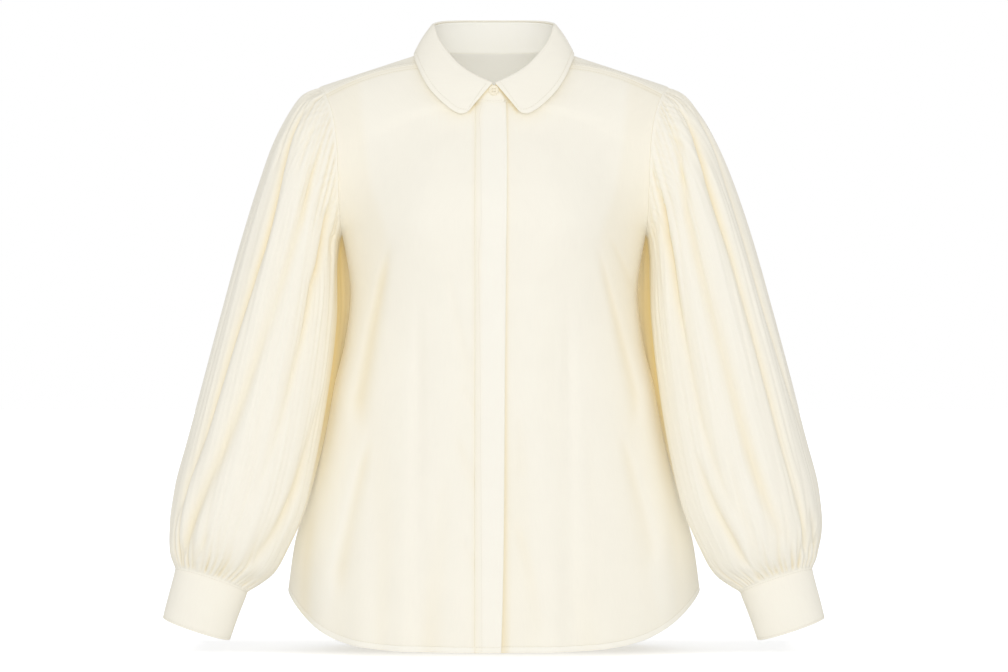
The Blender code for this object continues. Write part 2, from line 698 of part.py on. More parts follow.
def drill_thread_holes(piece, centre, across, up, outward, thickness):
    """Cuts four thread holes through a button with hidden pegs."""
    turns = np.arange(8) * 2 * np.pi / 8
    ring = (np.cos(turns)[:, None] * across + np.sin(turns)[:, None] * up) * THREAD_HOLE_RADIUS
    for n, (right, high) in enumerate(((1, 1), (-1, 1), (-1, -1), (1, -1))):
        middle = centre + (across * right + up * high) * THREAD_HOLE_OFFSET
        ends = [middle + ring - outward, middle + ring + outward * (thickness + 1)]
        faces = [list(range(8)), list(range(8, 16))]
        faces += [[k, (k + 1) % 8, (k + 1) % 8 + 8, k + 8] for k in range(8)]
        peg = mesh_object(f"peg_{n}", np.concatenate(ends), faces, BUTTON_COLOUR, 0.35)
        peg.hide_render = True
        peg.display_type = "WIRE"
        cut = piece.modifiers.new(f"thread_hole_{n}", "BOOLEAN")
        cut.operation = "DIFFERENCE"
        cut.object = peg


# ---------------------------------------------------------------- the garment


def armhole_miter(sleeve_way, body_ways):
    """Direction of the wall's thickness at the armhole, shared by sleeve and body.

    Where the two fold back on each other, under the arm, each keeps its own.
    """
    agree = (sleeve_way * body_ways).sum(axis=1, keepdims=True)
    shared = unit(sleeve_way + body_ways)
    stretch = 1 / np.maximum((shared * body_ways).sum(axis=1, keepdims=True), 0.6)
    keep = agree > 0.0
    return np.where(keep, shared * stretch, sleeve_way), np.where(keep, shared * stretch, body_ways)


def body_pieces():
    """Outer grids and thickness directions of the body's panels and the placket."""
    grids = {
        "front_right": front_grid(RIGHT),
        "front_left": front_grid(LEFT),
        "back": back_grid(),
        "placket_cover": placket_grid(COVER_COLUMNS, 0.0),
        "button_band": placket_grid(BAND_COLUMNS, TUCK),
    }
    front_edge = grids["front_left"][-1, ::2]
    back_edge = grids["back"][-1, BACK_COLUMNS:]
    grids["yoke"] = yoke_grid(front_edge, back_edge)
    centre = np.array([0.0, 0.0, -300.0])
    normals = {name: facing(grid_normals(grid, False), grid, centre) for name, grid in grids.items()}
    share_seam_normals(grids, normals)
    for name in ("front_right", "front_left"):
        top = normals[name][-1]
        top[1::2] = (top[:-1:2] + top[2::2]) / 2
    return grids, normals


def armhole_edges(side, grids):
    """Grid places that lie on one armhole, by their angle round it."""
    places = {}
    for name in ("front_left", "front_right", "back", "yoke"):
        edge = np.ones(grids[name].shape[:2], bool)
        edge[1:-1, 1:-1] = False
        for row, col in np.argwhere(edge):
            point = mirrored(grids[name][row, col], side)
            for angle in np.arange(0.0, 360.0, ARMHOLE_STEP):
                if np.linalg.norm(point - armhole(angle)) < 0.05:
                    places.setdefault(angle, []).append((name, row, col))
    return places


def join_armhole(side, grids, normals, sleeve_normals):
    """Gives the body and one sleeve a single thickness direction along the armhole."""
    places = armhole_edges(side, grids)
    angles = np.arange(0.0, 360.0, ARMHOLE_STEP)
    first = [places[angle][0] for angle in angles]
    body_ways = np.array([normals[name][row, col] for name, row, col in first])
    sleeve_ways, body_ways = armhole_miter(sleeve_normals[0, ::2], mirrored(body_ways, side))
    sleeve_normals[0, ::2] = sleeve_ways
    sleeve_normals[0, 1::2] = (sleeve_ways + np.roll(sleeve_ways, -1, axis=0)) / 2
    for angle, way in zip(angles, body_ways):
        for name, row, col in places[angle]:
            normals[name][row, col] = mirrored(way, side)


def build_body(grids, normals):
    seams = {
        "front_right": ("last_row", "first_column", "last_column"),
        "front_left": ("last_row", "first_column", "last_column"),
        "back": ("last_row", "first_column", "last_column"),
        "placket_cover": ("last_row", "first_column"),
        "button_band": ("last_row", "last_column"),
        "yoke": ("first_row", "last_row", "first_column", "last_column"),
    }
    for name, edges in seams.items():
        outer = pull_in(grids[name], edges)
        cloth_wall(name, outer, outer - normals[name] * CLOTH)


def build_sleeve(side, sleeve, sleeve_normals):
    word = "left" if side == LEFT else "right"
    cuff = cuff_grid(side)
    cuff_normals = facing(grid_normals(cuff, True), cuff, cuff.mean(axis=(0, 1)))
    shared = unit(cuff_normals[0] + sleeve_normals[-1, ::2])
    cuff_normals[0] = shared
    sleeve_normals[-1, ::2] = shared
    sleeve_normals[-1, 1::2] = (shared + np.roll(shared, -1, axis=0)) / 2
    outer = pull_in(sleeve, ("first_row", "last_row"))
    inner = outer - sleeve_normals * CLOTH
    cloth_wall(f"sleeve_{word}", mirrored(outer, side), mirrored(inner, side), True)
    outer = pull_in(cuff, ("first_row",))
    inner = outer - cuff_normals * CLOTH
    cloth_wall(f"cuff_{word}", mirrored(outer, side), mirrored(inner, side), True)


def build_collar():
    stand = stand_grid()
    outward = neck_outward(stand_angles())[None]
    rising = unit(np.gradient(stand, axis=0))
    stand_ways = unit(outward - rising * (outward * rising).sum(axis=-1, keepdims=True))
    stand_outer = pull_in(stand, ("first_row",))
    cloth_wall("collar_stand", stand_outer, stand_outer - stand_ways * CLOTH)
    leaf = leaf_grid()
    leaf_ways = facing(grid_normals(leaf, False), leaf, np.array([0.0, NECK_CENTRE_Y, -60.0]))
    cloth_wall("collar", leaf, leaf - leaf_ways * COLLAR_CLOTH)


def build_buttons(grids):
    cover = grids["placket_cover"][:, 1:3].mean(axis=1)
    for number, height in enumerate(HIDDEN_BUTTON_HEIGHTS, start=1):
        above = int(np.searchsorted(cover[:, 2], height))
        low, high = cover[above - 1], cover[above]
        along = unit((high - low) * (0.0, 1.0, 1.0))
        outward = np.array([0.0, -along[2], along[1]])
        room = (TUCK * along[2] - CLOTH - HIDDEN_BUTTON_THICK) / 2
        front = np.interp(height, cover[:, 2], cover[:, 1])
        centre = np.array([0.0, front + TUCK, height]) + outward * room
        button(f"placket_button_{number}", centre, outward, HIDDEN_BUTTON_RADIUS, HIDDEN_BUTTON_THICK)
    low, high = neckline(0.0), fold_line(0.0)
    outward = unit(np.array([0.0, low[2] - high[2], high[1] - low[1]]))
    share = (NECK_BUTTON_HEIGHT - low[2]) / (high[2] - low[2])
    centre = low + (high - low) * share + outward * SEAM_GAP
    button("neck_button", centre, outward, NECK_BUTTON_RADIUS, NECK_BUTTON_THICK, holes=True)


def main():
    for old in list(bpy.data.objects):
        bpy.data.objects.remove(old, do_unlink=True)
    grids, normals = body_pieces()
    for side in (RIGHT, LEFT):
        sleeve = sleeve_grid(side)
        sleeve_normals = facing(grid_normals(sleeve, True), sleeve, sleeve.mean(axis=(0, 1)))
        join_armhole(side, grids, normals, sleeve_normals)
        build_sleeve(side, sleeve, sleeve_normals)
    build_body(grids, normals)
    build_collar()
    build_buttons(grids)


main()
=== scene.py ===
"""Looks of a long-sleeved button-up blouse in cream crepe, dressed over its solids.

Each piece of cloth is a thin shell: a surface worked out from the tables below, with its
folds pressed into it, an inner face set back by the cloth's thickness and rounded rims.
Lengths in the tables and in the surface functions are in millimetres and angles in
degrees; meshes, lights and the camera are in metres. +X is the wearer's left, the front
faces -Y and +Z is up. A surface takes u along its length and v across it, from 0 to 1.
"""

import math

import bpy
import numpy as np
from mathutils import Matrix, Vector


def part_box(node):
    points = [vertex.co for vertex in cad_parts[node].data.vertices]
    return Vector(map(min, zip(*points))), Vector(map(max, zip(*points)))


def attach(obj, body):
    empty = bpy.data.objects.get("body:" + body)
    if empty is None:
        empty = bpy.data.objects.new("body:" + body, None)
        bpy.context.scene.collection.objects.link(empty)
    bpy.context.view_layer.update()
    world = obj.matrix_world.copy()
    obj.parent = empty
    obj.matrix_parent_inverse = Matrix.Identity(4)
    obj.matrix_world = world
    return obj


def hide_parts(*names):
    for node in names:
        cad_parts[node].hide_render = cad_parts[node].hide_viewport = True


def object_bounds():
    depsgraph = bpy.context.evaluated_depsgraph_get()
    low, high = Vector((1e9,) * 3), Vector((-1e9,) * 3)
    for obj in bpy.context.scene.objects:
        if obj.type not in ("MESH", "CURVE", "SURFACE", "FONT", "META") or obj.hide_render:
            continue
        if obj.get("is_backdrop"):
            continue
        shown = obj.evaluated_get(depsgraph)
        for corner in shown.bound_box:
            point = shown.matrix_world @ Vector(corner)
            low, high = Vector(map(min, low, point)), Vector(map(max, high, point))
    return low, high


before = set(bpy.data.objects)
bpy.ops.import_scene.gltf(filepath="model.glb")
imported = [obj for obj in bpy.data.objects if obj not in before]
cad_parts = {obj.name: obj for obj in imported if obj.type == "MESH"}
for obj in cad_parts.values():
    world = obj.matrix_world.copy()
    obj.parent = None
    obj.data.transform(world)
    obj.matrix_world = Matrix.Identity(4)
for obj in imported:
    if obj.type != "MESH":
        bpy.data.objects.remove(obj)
cad_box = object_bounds()

bl_info = {
    "name": "Balloon-sleeved blouse",
    "version": (1, 0, 0),
    "blender": (4, 5, 0),
    "location": "View3D > Sidebar > Blouse",
    "description": "Builds the cloth, collar, buttons and stage of a button-up blouse",
    "category": "Object",
}

MM = 0.001
RIGHT, LEFT = -1.0, 1.0
SIDE_WORDS = {RIGHT: "right", LEFT: "left"}

# Placket: x of the covered strip's free and sewn edges and of the band's beneath it, and how
# far the wearer's left front steps back beneath it, out to which x.
COVER_EDGE = 13.8
PLACKET_SEAM = 20.85
BAND_SEAM = 11.8
BAND_EDGE = 18.0
TUCK = 3.7
TUCK_END = 62.0
# How far the placket's free edge strays sideways from straight, by row, hem first.
EDGE_ROWS = (0.0, 0.8, 2.0, 5.0, 8.0, 11.0, 13.0)
EDGE_STRAY = (-5.4, -3.8, -2.4, -0.9, 0.9, 1.2, 0.0)

# Neckline and the collar's fold, both ellipses seen from above. The leaf is cut short by
# LEAF_END_ANGLE at its ends; ROLL_SHARE is the part of its rows that lies on the roll, whose
# profile gives the way out from the fold line and the way up.
NECK_HALF_WIDTH = 78.0
NECK_HALF_DEPTH = 66.0
NECK_CENTRE_Y = -5.0
FOLD_HALF_WIDTH = 69.5
FOLD_HALF_DEPTH = 62.0
FOLD_CENTRE_Y = -5.0
ROLL_HEIGHT = 2.6
LEAF_END_ANGLE = 1.2
LEAF_CORNER = 9.0
LEAF_BULGE = 1.5
ROLL_SHARE = 0.16
ROLL_PROFILE = ((-1.5, 0.4), (-1.4, 1.7), (0.4, 2.6), (2.2, 1.3))
# Ends of the stand: x, then the share of its full height.
TAB_EDGE = 12.2
STAND_TAB = ((0.0, 1.0), (3.0, 0.94), (6.0, 0.8), (9.0, 0.6), (11.0, 0.4), (12.2, 0.2))
UNDER_TAB = ((0.0, 1.0), (8.0, 0.96), (14.0, 0.8), (18.0, 0.45))
STAND_OVERLAP = 0.03

COLLAR_ROWS = (
    # angle round the neck, seam_z, fold_z, edge_x, edge_y, edge_z
    (0.0, -58.0, -35.0, 31.5, -86.0, -74.0),
    (15.6, -55.0, -26.3, 46.0, -84.0, -67.0),
    (32.0, -46.0, -14.6, 61.0, -77.0, -54.5),
    (49.0, -29.0, 2.4, 75.0, -66.0, -38.0),
    (66.0, -11.5, 19.2, 85.0, -49.0, -19.5),
    (85.0, 4.0, 36.0, 92.0, -20.0, -0.5),
    (105.0, 8.0, 40.6, 92.5, 14.0, 4.5),
    (130.0, 9.0, 45.2, 76.0, 54.0, 4.0),
    (155.0, 9.2, 47.5, 42.0, 82.0, 3.0),
    (180.0, 9.4, 48.1, 0.0, 91.0, 2.5),
)

# Armhole: its angle runs from the shoulder's top (0) down the front (90) to the underarm
# (180) and up the back (270).
ARMHOLE_CENTRE_Y = 5.0
ARMHOLE_CENTRE_Z = -118.25
ARMHOLE_HALF_DEPTH = 64.0
ARMHOLE_HALF_HEIGHT = 84.75
ARMHOLE_X = 176.5
ARMHOLE_SHOULDER_OUT = 22.0
ARMHOLE_UNDERARM_IN = 1.5

# Rows of the body below the underarm, then of the chest and of the back above it.
SKIRT_ROWS = (
    # side_z, half_width, front_z, front_y, back_z, back_y, corner
    (-613.0, 237.0, -671.5, -150.0, -680.0, 134.0, 6.0),
    (-560.0, 229.5, -606.0, -144.0, -614.0, 126.0, 5.0),
    (-500.0, 212.5, -536.0, -137.0, -541.0, 115.0, 4.0),
    (-440.0, 197.0, -467.0, -131.0, -468.0, 104.0, 3.0),
    (-380.0, 184.5, -399.0, -125.0, -399.0, 95.0, 2.5),
    (-325.0, 171.0, -337.0, -121.0, -336.0, 91.0, 2.0),
    (-270.0, 165.0, -274.0, -121.0, -273.0, 94.0, 2.0),
    (-203.0, 175.0, -204.0, -124.0, -204.0, 106.0, 2.0),
)
CHEST_ROWS = (
    # armhole_angle, front_z, front_y, neck_angle, turn
    (165.0, -181.0, -122.0, 0.0, 83.0),
    (150.0, -158.0, -117.0, 0.0, 76.0),
    (135.0, -135.0, -109.0, 0.0, 69.0),
    (120.0, -111.0, -98.0, 0.0, 62.0),
    (105.0, -85.0, -84.0, 0.0, 56.0),
    (90.0, -58.0, -71.0, 0.0, 51.0),
    (75.0, -58.0, -71.0, 15.6, 47.0),
    (60.0, -58.0, -71.0, 32.0, 43.0),
    (45.0, -58.0, -71.0, 49.0, 38.0),
    (30.0, -58.0, -71.0, 66.0, 32.0),
)
SHOULDER_BLADE_ROWS = (
    # armhole_angle, back_z, back_y, turn
    (195.0, -187.0, 108.5, 81.0),
    (210.0, -172.0, 110.0, 73.0),
    (225.0, -158.0, 110.5, 66.0),
    (240.0, -144.0, 110.0, 60.0),
    (255.0, -131.0, 108.5, 56.0),
    (270.0, -118.0, 106.0, 53.0),
    (285.0, -106.0, 103.0, 51.0),
    (300.0, -96.0, 100.0, 50.0),
)
FRONT_TOP = len(SKIRT_ROWS) + len(CHEST_ROWS) - 1
BACK_TOP = len(SKIRT_ROWS) + len(SHOULDER_BLADE_ROWS) - 1
NECK_ROW = len(SKIRT_ROWS) + 5
UNDERARM_LEVEL = len(SKIRT_ROWS) - 1.01
SIDE_SEAM_Y = 5.0
LEFT_HEM_ROUNDNESS = 0.85

# Fullness of the chest, a soft dome on each front.
BUST = {"x": 86.0, "z": -188.0, "width": 56.0, "height": 72.0, "depth": 14.0}

# Yoke: the neckline angles of its stations, from the front seam to the centre back, the
# station of its corner at the armhole, the angles at which its front seam meets the neckline
# and the armhole, and how far it bows out between its edges.
YOKE_NECK_ANGLES = (66, 72, 79, 87, 96, 105, 114, 123, 132, 141, 150, 160, 170, 180)
YOKE_LAST = len(YOKE_NECK_ANGLES) - 1
YOKE_CORNER = 6.0
FRONT_SEAM_ANGLES = (66.0, 30.0)
YOKE_SHOULDER_BOW = 3.0
YOKE_BACK_BOW = 7.0

# Sleeve: its sections from the armhole to the cuff. Angles round a section run as those
# round the armhole do.
SLEEVE_ROWS = (
    # outer_x, outer_z, inner_x, inner_z, mid_y, front, back, lift, tuck, spread
    (198.5, -33.5, 175.0, -203.0, 5.0, 64.0, 64.0, 0.0, 0.0, 0.0),
    (218.5, -42.0, 176.0, -207.0, 4.0, 75.0, 74.0, 0.0, 8.0, 0.0),
    (238.0, -66.5, 177.0, -214.0, 2.0, 82.0, 79.0, 0.0, 18.0, 0.6),
    (256.0, -101.0, 177.5, -228.0, -1.0, 84.0, 81.0, 0.0, 27.0, 1.7),
    (273.0, -147.0, 178.0, -251.0, -5.0, 82.0, 81.0, 1.0, 32.0, 2.9),
    (294.5, -216.0, 178.0, -287.0, -12.0, 78.0, 79.0, 2.0, 37.0, 3.5),
    (313.0, -285.0, 180.5, -330.0, -22.0, 76.0, 77.0, 3.0, 32.0, 3.5),
    (332.5, -360.5, 186.5, -386.0, -34.0, 76.0, 76.0, 4.0, 20.0, 3.5),
    (351.5, -438.5, 198.5, -462.0, -48.0, 76.0, 76.0, 6.0, 10.0, 3.2),
    (364.5, -493.5, 211.0, -517.0, -58.0, 74.0, 74.0, 7.0, 4.0, 3.0),
    (369.0, -536.0, 229.0, -559.5, -66.0, 66.0, 66.0, 8.0, 0.0, 2.0),
    (366.0, -565.0, 247.0, -589.5, -71.0, 52.0, 52.0, 8.0, 0.0, 0.0),
    (359.0, -583.5, 277.5, -609.5, -74.0, 33.0, 33.0, 7.5, 0.0, 0.0),
)
SLEEVE_TOP = len(SLEEVE_ROWS) - 1
CUFF_BOTTOM = (372.0, -637.5, 296.5, -662.5, -84.0, 31.0, 31.0, -0.5, 0.0, 0.0)
CUFF_OVERLAP = 0.012
ARMHOLE_BLEND_ROWS = 2.0
# How far the inner line of the gathers' fan leans in, for each millimetre of height.
FAN_LEAN = 0.2
# The small dome where a sleeve rests on the body below the bust: its height, its angle
# round the section and half width, its row and half length.
SWELL = (3.2, 208.0, 22.0, 7.3, 1.1)
# The side of a sleeve that faces the body, where it is painted with shade: its angle and half
# width.
HIDDEN_SIDE = (192.0, 26.0)
# Gathers at a sleeve's two seams: their number, the ranges of their half widths in degrees,
# of their depths and of their lengths, the angle they lean by and the length they deepen
# over.
TOP_GATHERS = (48, (1.3, 2.6), (1.2, 3.3), (34, 130), 0.0, 5.0)
CUFF_GATHERS = (48, (1.4, 2.7), (1.6, 3.6), (20, 88), -6.0, 3.0)

# Long folds of a sleeve: the rows it passes, its angle round the section at each, its
# depth at each, its half width in degrees and how sharp its valley is (1.3 keen, 2 soft).
RIGHT_SLEEVE_FOLDS = (
    ((0.0, 0.5, 1.1, 1.8, 3.0, 4.2, 5.0, 6.0, 7.0, 8.0, 9.2),
     (108, 116, 128, 133, 134, 131, 124, 121, 116, 111, 103),
     (1, 4, 8, 10, 10, 9.5, 8.5, 7, 5, 2.5, 0), 5.2, 1.25),
    ((0.7, 1.3, 2.0, 3.1, 4.6, 5.4, 6.25, 7.1, 8.0, 8.75, 9.5, 10.2),
     (35, 38, 42, 51, 57.5, 55, 51, 47.5, 43, 38, 32, 28),
     (0, 3, 7, 9, 9, 8.5, 8, 7, 6, 5, 3, 0), 4.6, 1.3),
    ((0.4, 0.75, 1.1, 1.75, 2.5, 3.4, 4.25, 5.1, 6.0, 7.0, 8.0, 8.75, 9.5, 10.4, 11.1, 11.7),
     (56, 70, 84, 92.5, 96.5, 96.5, 93.5, 89.5, 85, 78, 69, 62, 56, 49, 45, 43),
     (0, 1.5, 3, 4.5, 5.5, 5.5, 5, 5, 4.5, 4.5, 5, 5.5, 6, 6, 4, 0), 6.5, 1.7),
    ((0.5, 1.5, 2.4, 3.0, 3.7), (21, 29, 35, 40, 43), (0, 2.5, 3, 2.5, 0), 2.6, 1.4),
    ((6.9, 7.6, 8.5, 9.1, 9.9, 10.6, 11.3), (158, 151, 146, 141, 136, 130, 126),
     (0, 4, 6.5, 6.5, 5.5, 4, 0), 7.0, 1.7),
    ((1.9, 2.4, 3.0, 3.6), (154, 153, 152, 152), (0, 3, 3, 0), 4.0, 1.5),
    ((9.9, 10.4, 10.9, 11.4), (74, 71, 68, 66), (0, 2.5, 3, 0), 3.0, 1.5),
    ((0.3, 0.9, 1.5, 2.2, 3.0), (44, 58, 68, 74, 77), (0, 1.6, 2, 1.4, 0), 3.0, 1.5),
)
LEFT_SLEEVE_FOLDS = (
    ((0.3, 0.8, 1.25, 1.75, 2.4, 3.0, 3.6, 4.4, 5.25, 6.25, 7.25, 8.1, 9.0, 9.9),
     (95, 110, 120.5, 126.5, 130, 132, 130.5, 128, 125.5, 122.5, 121, 117, 111, 104),
     (0, 4, 8, 10, 10, 10, 9.5, 8.5, 7.5, 6, 5, 3.5, 2, 0), 5.2, 1.25),
    ((0.8, 1.3, 1.75, 2.25, 2.75, 3.5, 4.1, 5.0, 5.9, 6.9, 7.75, 8.75, 9.75, 10.6, 11.3),
     (37, 41, 46, 51, 54.5, 58.5, 59, 57.5, 56, 54.5, 53.5, 52.5, 49, 45, 42),
     (0, 3, 6, 9, 9.5, 9.5, 9, 7, 6, 6, 5.5, 5, 5.5, 6, 0), 4.6, 1.35),
    ((0.7, 1.4, 2.0, 2.75, 3.6, 4.4, 5.25, 6.25, 7.25, 8.25, 9.25, 10.0, 10.8),
     (56, 71, 84.5, 92.5, 96.5, 96.5, 94, 91, 88.5, 85.5, 80, 75, 70),
     (0, 3, 4.5, 5.5, 6, 6, 5.5, 5.5, 5.5, 5.5, 4.5, 3, 0), 6.5, 1.7),
    ((0.5, 1.4, 2.25, 3.1, 3.9, 4.75, 5.6, 6.6, 7.4, 8.2),
     (12, 16, 23, 28, 32, 33, 32, 28, 22, 15), (0, 2.5, 4, 4.5, 4.5, 4, 4, 4, 3, 0), 4.0, 1.5),
    ((7.9, 8.5, 9.25, 10.0, 10.75, 11.4), (132, 129, 125, 120.5, 116.5, 113),
     (0, 4, 5.5, 5.5, 4.5, 0), 4.6, 1.5),
    ((9.4, 9.9, 10.6, 11.3), (36, 33, 27, 18), (0, 4, 5, 0), 4.5, 1.6),
    ((0.5, 1.0, 1.5, 2.1, 2.6), (118, 128, 137, 140, 141), (0, 2, 2.5, 2, 0), 2.2, 1.5),
    ((1.1, 1.6, 2.1, 2.7), (138, 143, 145, 146), (0, 2, 2, 0), 2.2, 1.5),
    ((0.3, 0.9, 1.5, 2.2, 3.0), (48, 60, 70, 75, 78), (0, 1.6, 2, 1.4, 0), 3.0, 1.5),
)
BACK_SLEEVE_FOLDS = (
    # angle near the shoulder, at the elbow and near the cuff, the depths there, half width
    (194.0, 187.0, 176.0, 2.0, 5.0, 3.0, 10.0),
    (226.0, 214.0, 203.0, 7.0, 4.0, 0.5, 6.0),
    (250.0, 241.0, 222.0, 3.0, 8.0, 6.0, 9.0),
    (263.0, 266.0, 262.0, 6.0, 1.0, 3.0, 4.5),
    (292.0, 284.0, 281.0, 8.0, 6.5, 1.0, 7.0),
    (309.0, 314.0, 301.0, 1.0, 5.0, 6.5, 6.0),
    (334.0, 327.0, 333.0, 6.0, 2.5, 4.0, 5.0),
    (350.0, 346.0, 342.0, 1.0, 3.5, 1.0, 5.0),
)

# Folds of the fronts and the back: top and bottom of each valley, how far it bows
# outwards half way, its half width and its depth.
SHARED_FRONT_FOLDS = (
    (83.0, -255.0, 86.0, -640.0, 1.0, 9.0, 3.4),
)
RIGHT_FRONT_FOLDS = (
    (114.0, -205.0, 152.0, -395.0, 1.0, 8.0, 6.0),
    (138.0, -425.0, 172.0, -585.0, 1.0, 8.0, 4.0),
    (52.0, -236.0, 27.0, -362.0, 2.0, 6.0, 1.3),
    (36.0, -372.0, 15.0, -412.0, 1.0, 5.0, 1.2),
    (42.0, -428.0, 21.0, -486.0, 1.0, 6.0, 1.4),
    (38.0, -540.0, 20.0, -578.0, 1.0, 5.0, 1.4),
    (56.0, -440.0, 50.0, -690.0, 2.0, 12.0, 1.4),
    (206.0, -500.0, 214.0, -640.0, 2.0, 9.0, 2.5),
)
LEFT_FRONT_FOLDS = (
    (112.0, -205.0, 160.0, -390.0, 1.0, 5.5, 4.0),
    (128.0, -205.0, 156.0, -262.0, 1.0, 4.0, 2.4),
    (140.0, -420.0, 176.0, -560.0, 1.0, 7.0, 2.4),
    (104.0, -380.0, 112.0, -690.0, 2.0, 11.0, 1.3),
    (17.0, -510.0, 52.0, -640.0, 3.0, 7.0, 1.6),
    (26.0, -400.0, 30.0, -470.0, 1.0, 6.0, 1.0),
    (200.0, -520.0, 210.0, -640.0, 2.0, 9.0, 2.5),
)
BACK_FOLDS = (
    (110.0, -250.0, 150.0, -640.0, 4.0, 16.0, 6.0),
    (55.0, -300.0, 70.0, -680.0, 2.0, 16.0, 5.0),
    (20.0, -130.0, 26.0, -420.0, 2.0, 12.0, 3.0),
    (150.0, -300.0, 196.0, -600.0, 4.0, 12.0, 3.0),
)

# Stitches: the distance of each line from its edge (the stand's bottom, top and buttoned
# end have their own), how far the thread stands clear of the cloth, the gap between
# stitches, the radius of one, how far its ends are sunk, and its rings: place and width.
HEM_STITCH = 7.0
COVER_STITCH = 7.9
YOKE_STITCH = 6.0
YOKE_STITCHES = (2.0, 8.0)
CUFF_STITCH = 2.4
STAND_STITCHES = (2.6, 1.8, 1.9)
LEAF_STITCH = 5.6
THREAD_LIFT = 0.02
STITCH_GAP = 0.75
STITCH_RADIUS = 0.24
STITCH_SINK = 0.16
STITCH_RINGS = ((0.16, 0.75), (0.5, 1.0), (0.84, 0.75))
# Furrow under a line of stitches: its depth, in the stand too, and its half width.
FURROW_DEPTH = 0.22
STAND_FURROW = 0.15
FURROW_WIDTH = 0.55
# Rows or columns of a grid that run along its first and second lines of stitches, and along
# the line nearest its last edge.
LINE, SECOND_LINE, END_LINE = 6, 11, -7
# Column at which the stitching along the stand's top stops, past the buttoned end.
TAB_COLUMNS = 60

# Even rows and columns of each piece's grid, between the close ones along its edges, and
# the finer grid on which the lengths of its rows and columns are measured.
STRIP_GRID, STRIP_FINE = (150, 8), (260, 60)
FRONT_GRID = (170, 78)
BACK_GRID = (150, 150)
YOKE_GRID, YOKE_FINE = (40, 150), (160, 420)
SLEEVE_GRID = (136, 340)
CUFF_GRID = (24, 168)
STAND_GRID, STAND_FINE = (10, 230), (60, 700)
LEAF_GRID, LEAF_FINE = (30, 210), (220, 520)

# Points within the garment, from which the cloth's outer faces turn away, and a distance
# that no rim feels.
INSIDE_BODY = np.array([0.0, 0.0, -300.0])
INSIDE_NECK = np.array([0.0, NECK_CENTRE_Y, -20.0])
BELOW_NECK = np.array([0.0, NECK_CENTRE_Y, -60.0])
FAR_AWAY = 99.0

# The line where each front turns back to the side: depth below the shoulder and x.
SIDE_LINE = (
    (0.0, 150.0), (150.0, 132.0), (215.0, 113.0), (281.0, 124.0), (348.0, 136.0),
    (414.0, 151.0), (503.0, 152.0), (592.0, 169.0), (690.0, 192.0),
)
# Fold values, the cloth's painted shade: 0 on open cloth, 1 for the full painted shade deep
# inside a fold, and below 0 for painted light, where the cloth is painted paler and cooler.
SIDE_TONE = (0.08, -0.05)  # beyond the side line, at the bust and below the waist
HEM_TONE = -0.08  # on the turned-up hem
ARMHOLE_TONE = -0.14  # beside a sleeve
SEAM_TONE = 0.16  # along the front yoke seam
PLACKET_TONE = -0.05  # on the placket
PLACKET_HOLLOW = 0.16  # along its sewn edge
EDGE_LINE = 0.24  # beside its free edge
LEAF_END_TONES = (0.8, 0.5)  # beside the collar's left and right front edges
HIDDEN_TONE = 0.8  # on the side of a sleeve that faces the body
DEEPEST_TONE = 1.3  # the most on a sleeve
# Painted shade of a fold: its fold value at its full depth, and that depth.
FRONT_CREASES = (0.3, 6.0)
BACK_CREASES = (0.35, 6.0)
LONG_CREASES = (0.42, 9.0)
FINE_CREASES = (0.34, 3.0)
# The inner faces' painted shade: the share of the outer face's value that they take, and painted
# light, paler cloth, inside the yoke and the collar stand.
INNER_SHADE_SHARE = 0.4  # share of the outer face's value that the inner face takes
YOKE_INNER_LIGHT = -0.3  # on the yoke's inner face
STAND_INNER_LIGHT = -0.2  # on the collar stand's

# Buttons: the height of the neck button and its thickness, the rounding of its edge, how
# far its face starts within the edge and the radius where it ends, the points round it and
# the distance of its four holes from the axis, sideways and up.
NECK_BUTTON_HEIGHT = -44.0
NECK_BUTTON_THICK = 2.6
BUTTON_ROUND = 0.8
BUTTON_RIM = 0.9
BUTTON_POLE = 0.05
BUTTON_SIDES = 96
HOLE_PLACE = 1.5
HIDDEN_BUTTONS = tuple(f"placket_button_{number}" for number in range(1, 6))

# Painted glow of the cloth, painted light that stands in for light coming through it:
# its strength, the fold values between which it grows and its share in the open.
CLOTH_GLOW = 0.27
GLOW_FOLD_VALUES = (0.75, 1.1)
OPEN_GLOW_SHARE = 0.4
# Floor: its size, its colours for light and for the eye, its glow near the piece and away
# from it, and for each axis the piece's middle and where the glow starts and ends growing.
# The glow is painted light, and where it is weaker it paints the contact shadow.
FLOOR_REACH = 12.0
FLOOR_HEIGHT = -0.6846
FLOOR_LIGHTING = (0.88, 0.88, 0.88)
FLOOR_SEEN = (0.81, 0.82, 0.84)
FLOOR_GLOW = (0.4, 0.86)
FLOOR_SPREAD = (("X", 0.0, 0.33, 0.43), ("Y", 0.075, 0.045, 0.17))
# Surroundings: the way in which they dim, their strength at its start and end, and the soft
# light behind.
SKY_WAY = (0.0, 0.9, 0.44)
SKY_STRENGTH = (0.85, 0.488)
BACK_GLOW = 0.8
SOFTBOX_PLACE = (0.0, -4.3, 0.2)
SOFTBOX_TARGET = (0.0, 0.0, -0.3)
SOFTBOX_WIDTH = 1.6
SOFTBOX_POWER = 42.8
CAMERA_PLACE = (0.0115, -3.7, -0.321)
CAMERA_LENS = 114.9

# Kinds of shader node, and the wave texture's scale for threads one unit apart.
MATH, VECTOR_MATH = "ShaderNodeMath", "ShaderNodeVectorMath"
NOISE, WAVE = "ShaderNodeTexNoise", "ShaderNodeTexWave"
WAVE_RATE = 0.314


# ---------------------------------------------------------------- settings


def button_radius():
    """Radius of the neck button in metres, from the solid's own box."""
    low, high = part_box("neck_button")
    return (high[0] - low[0]) / 2


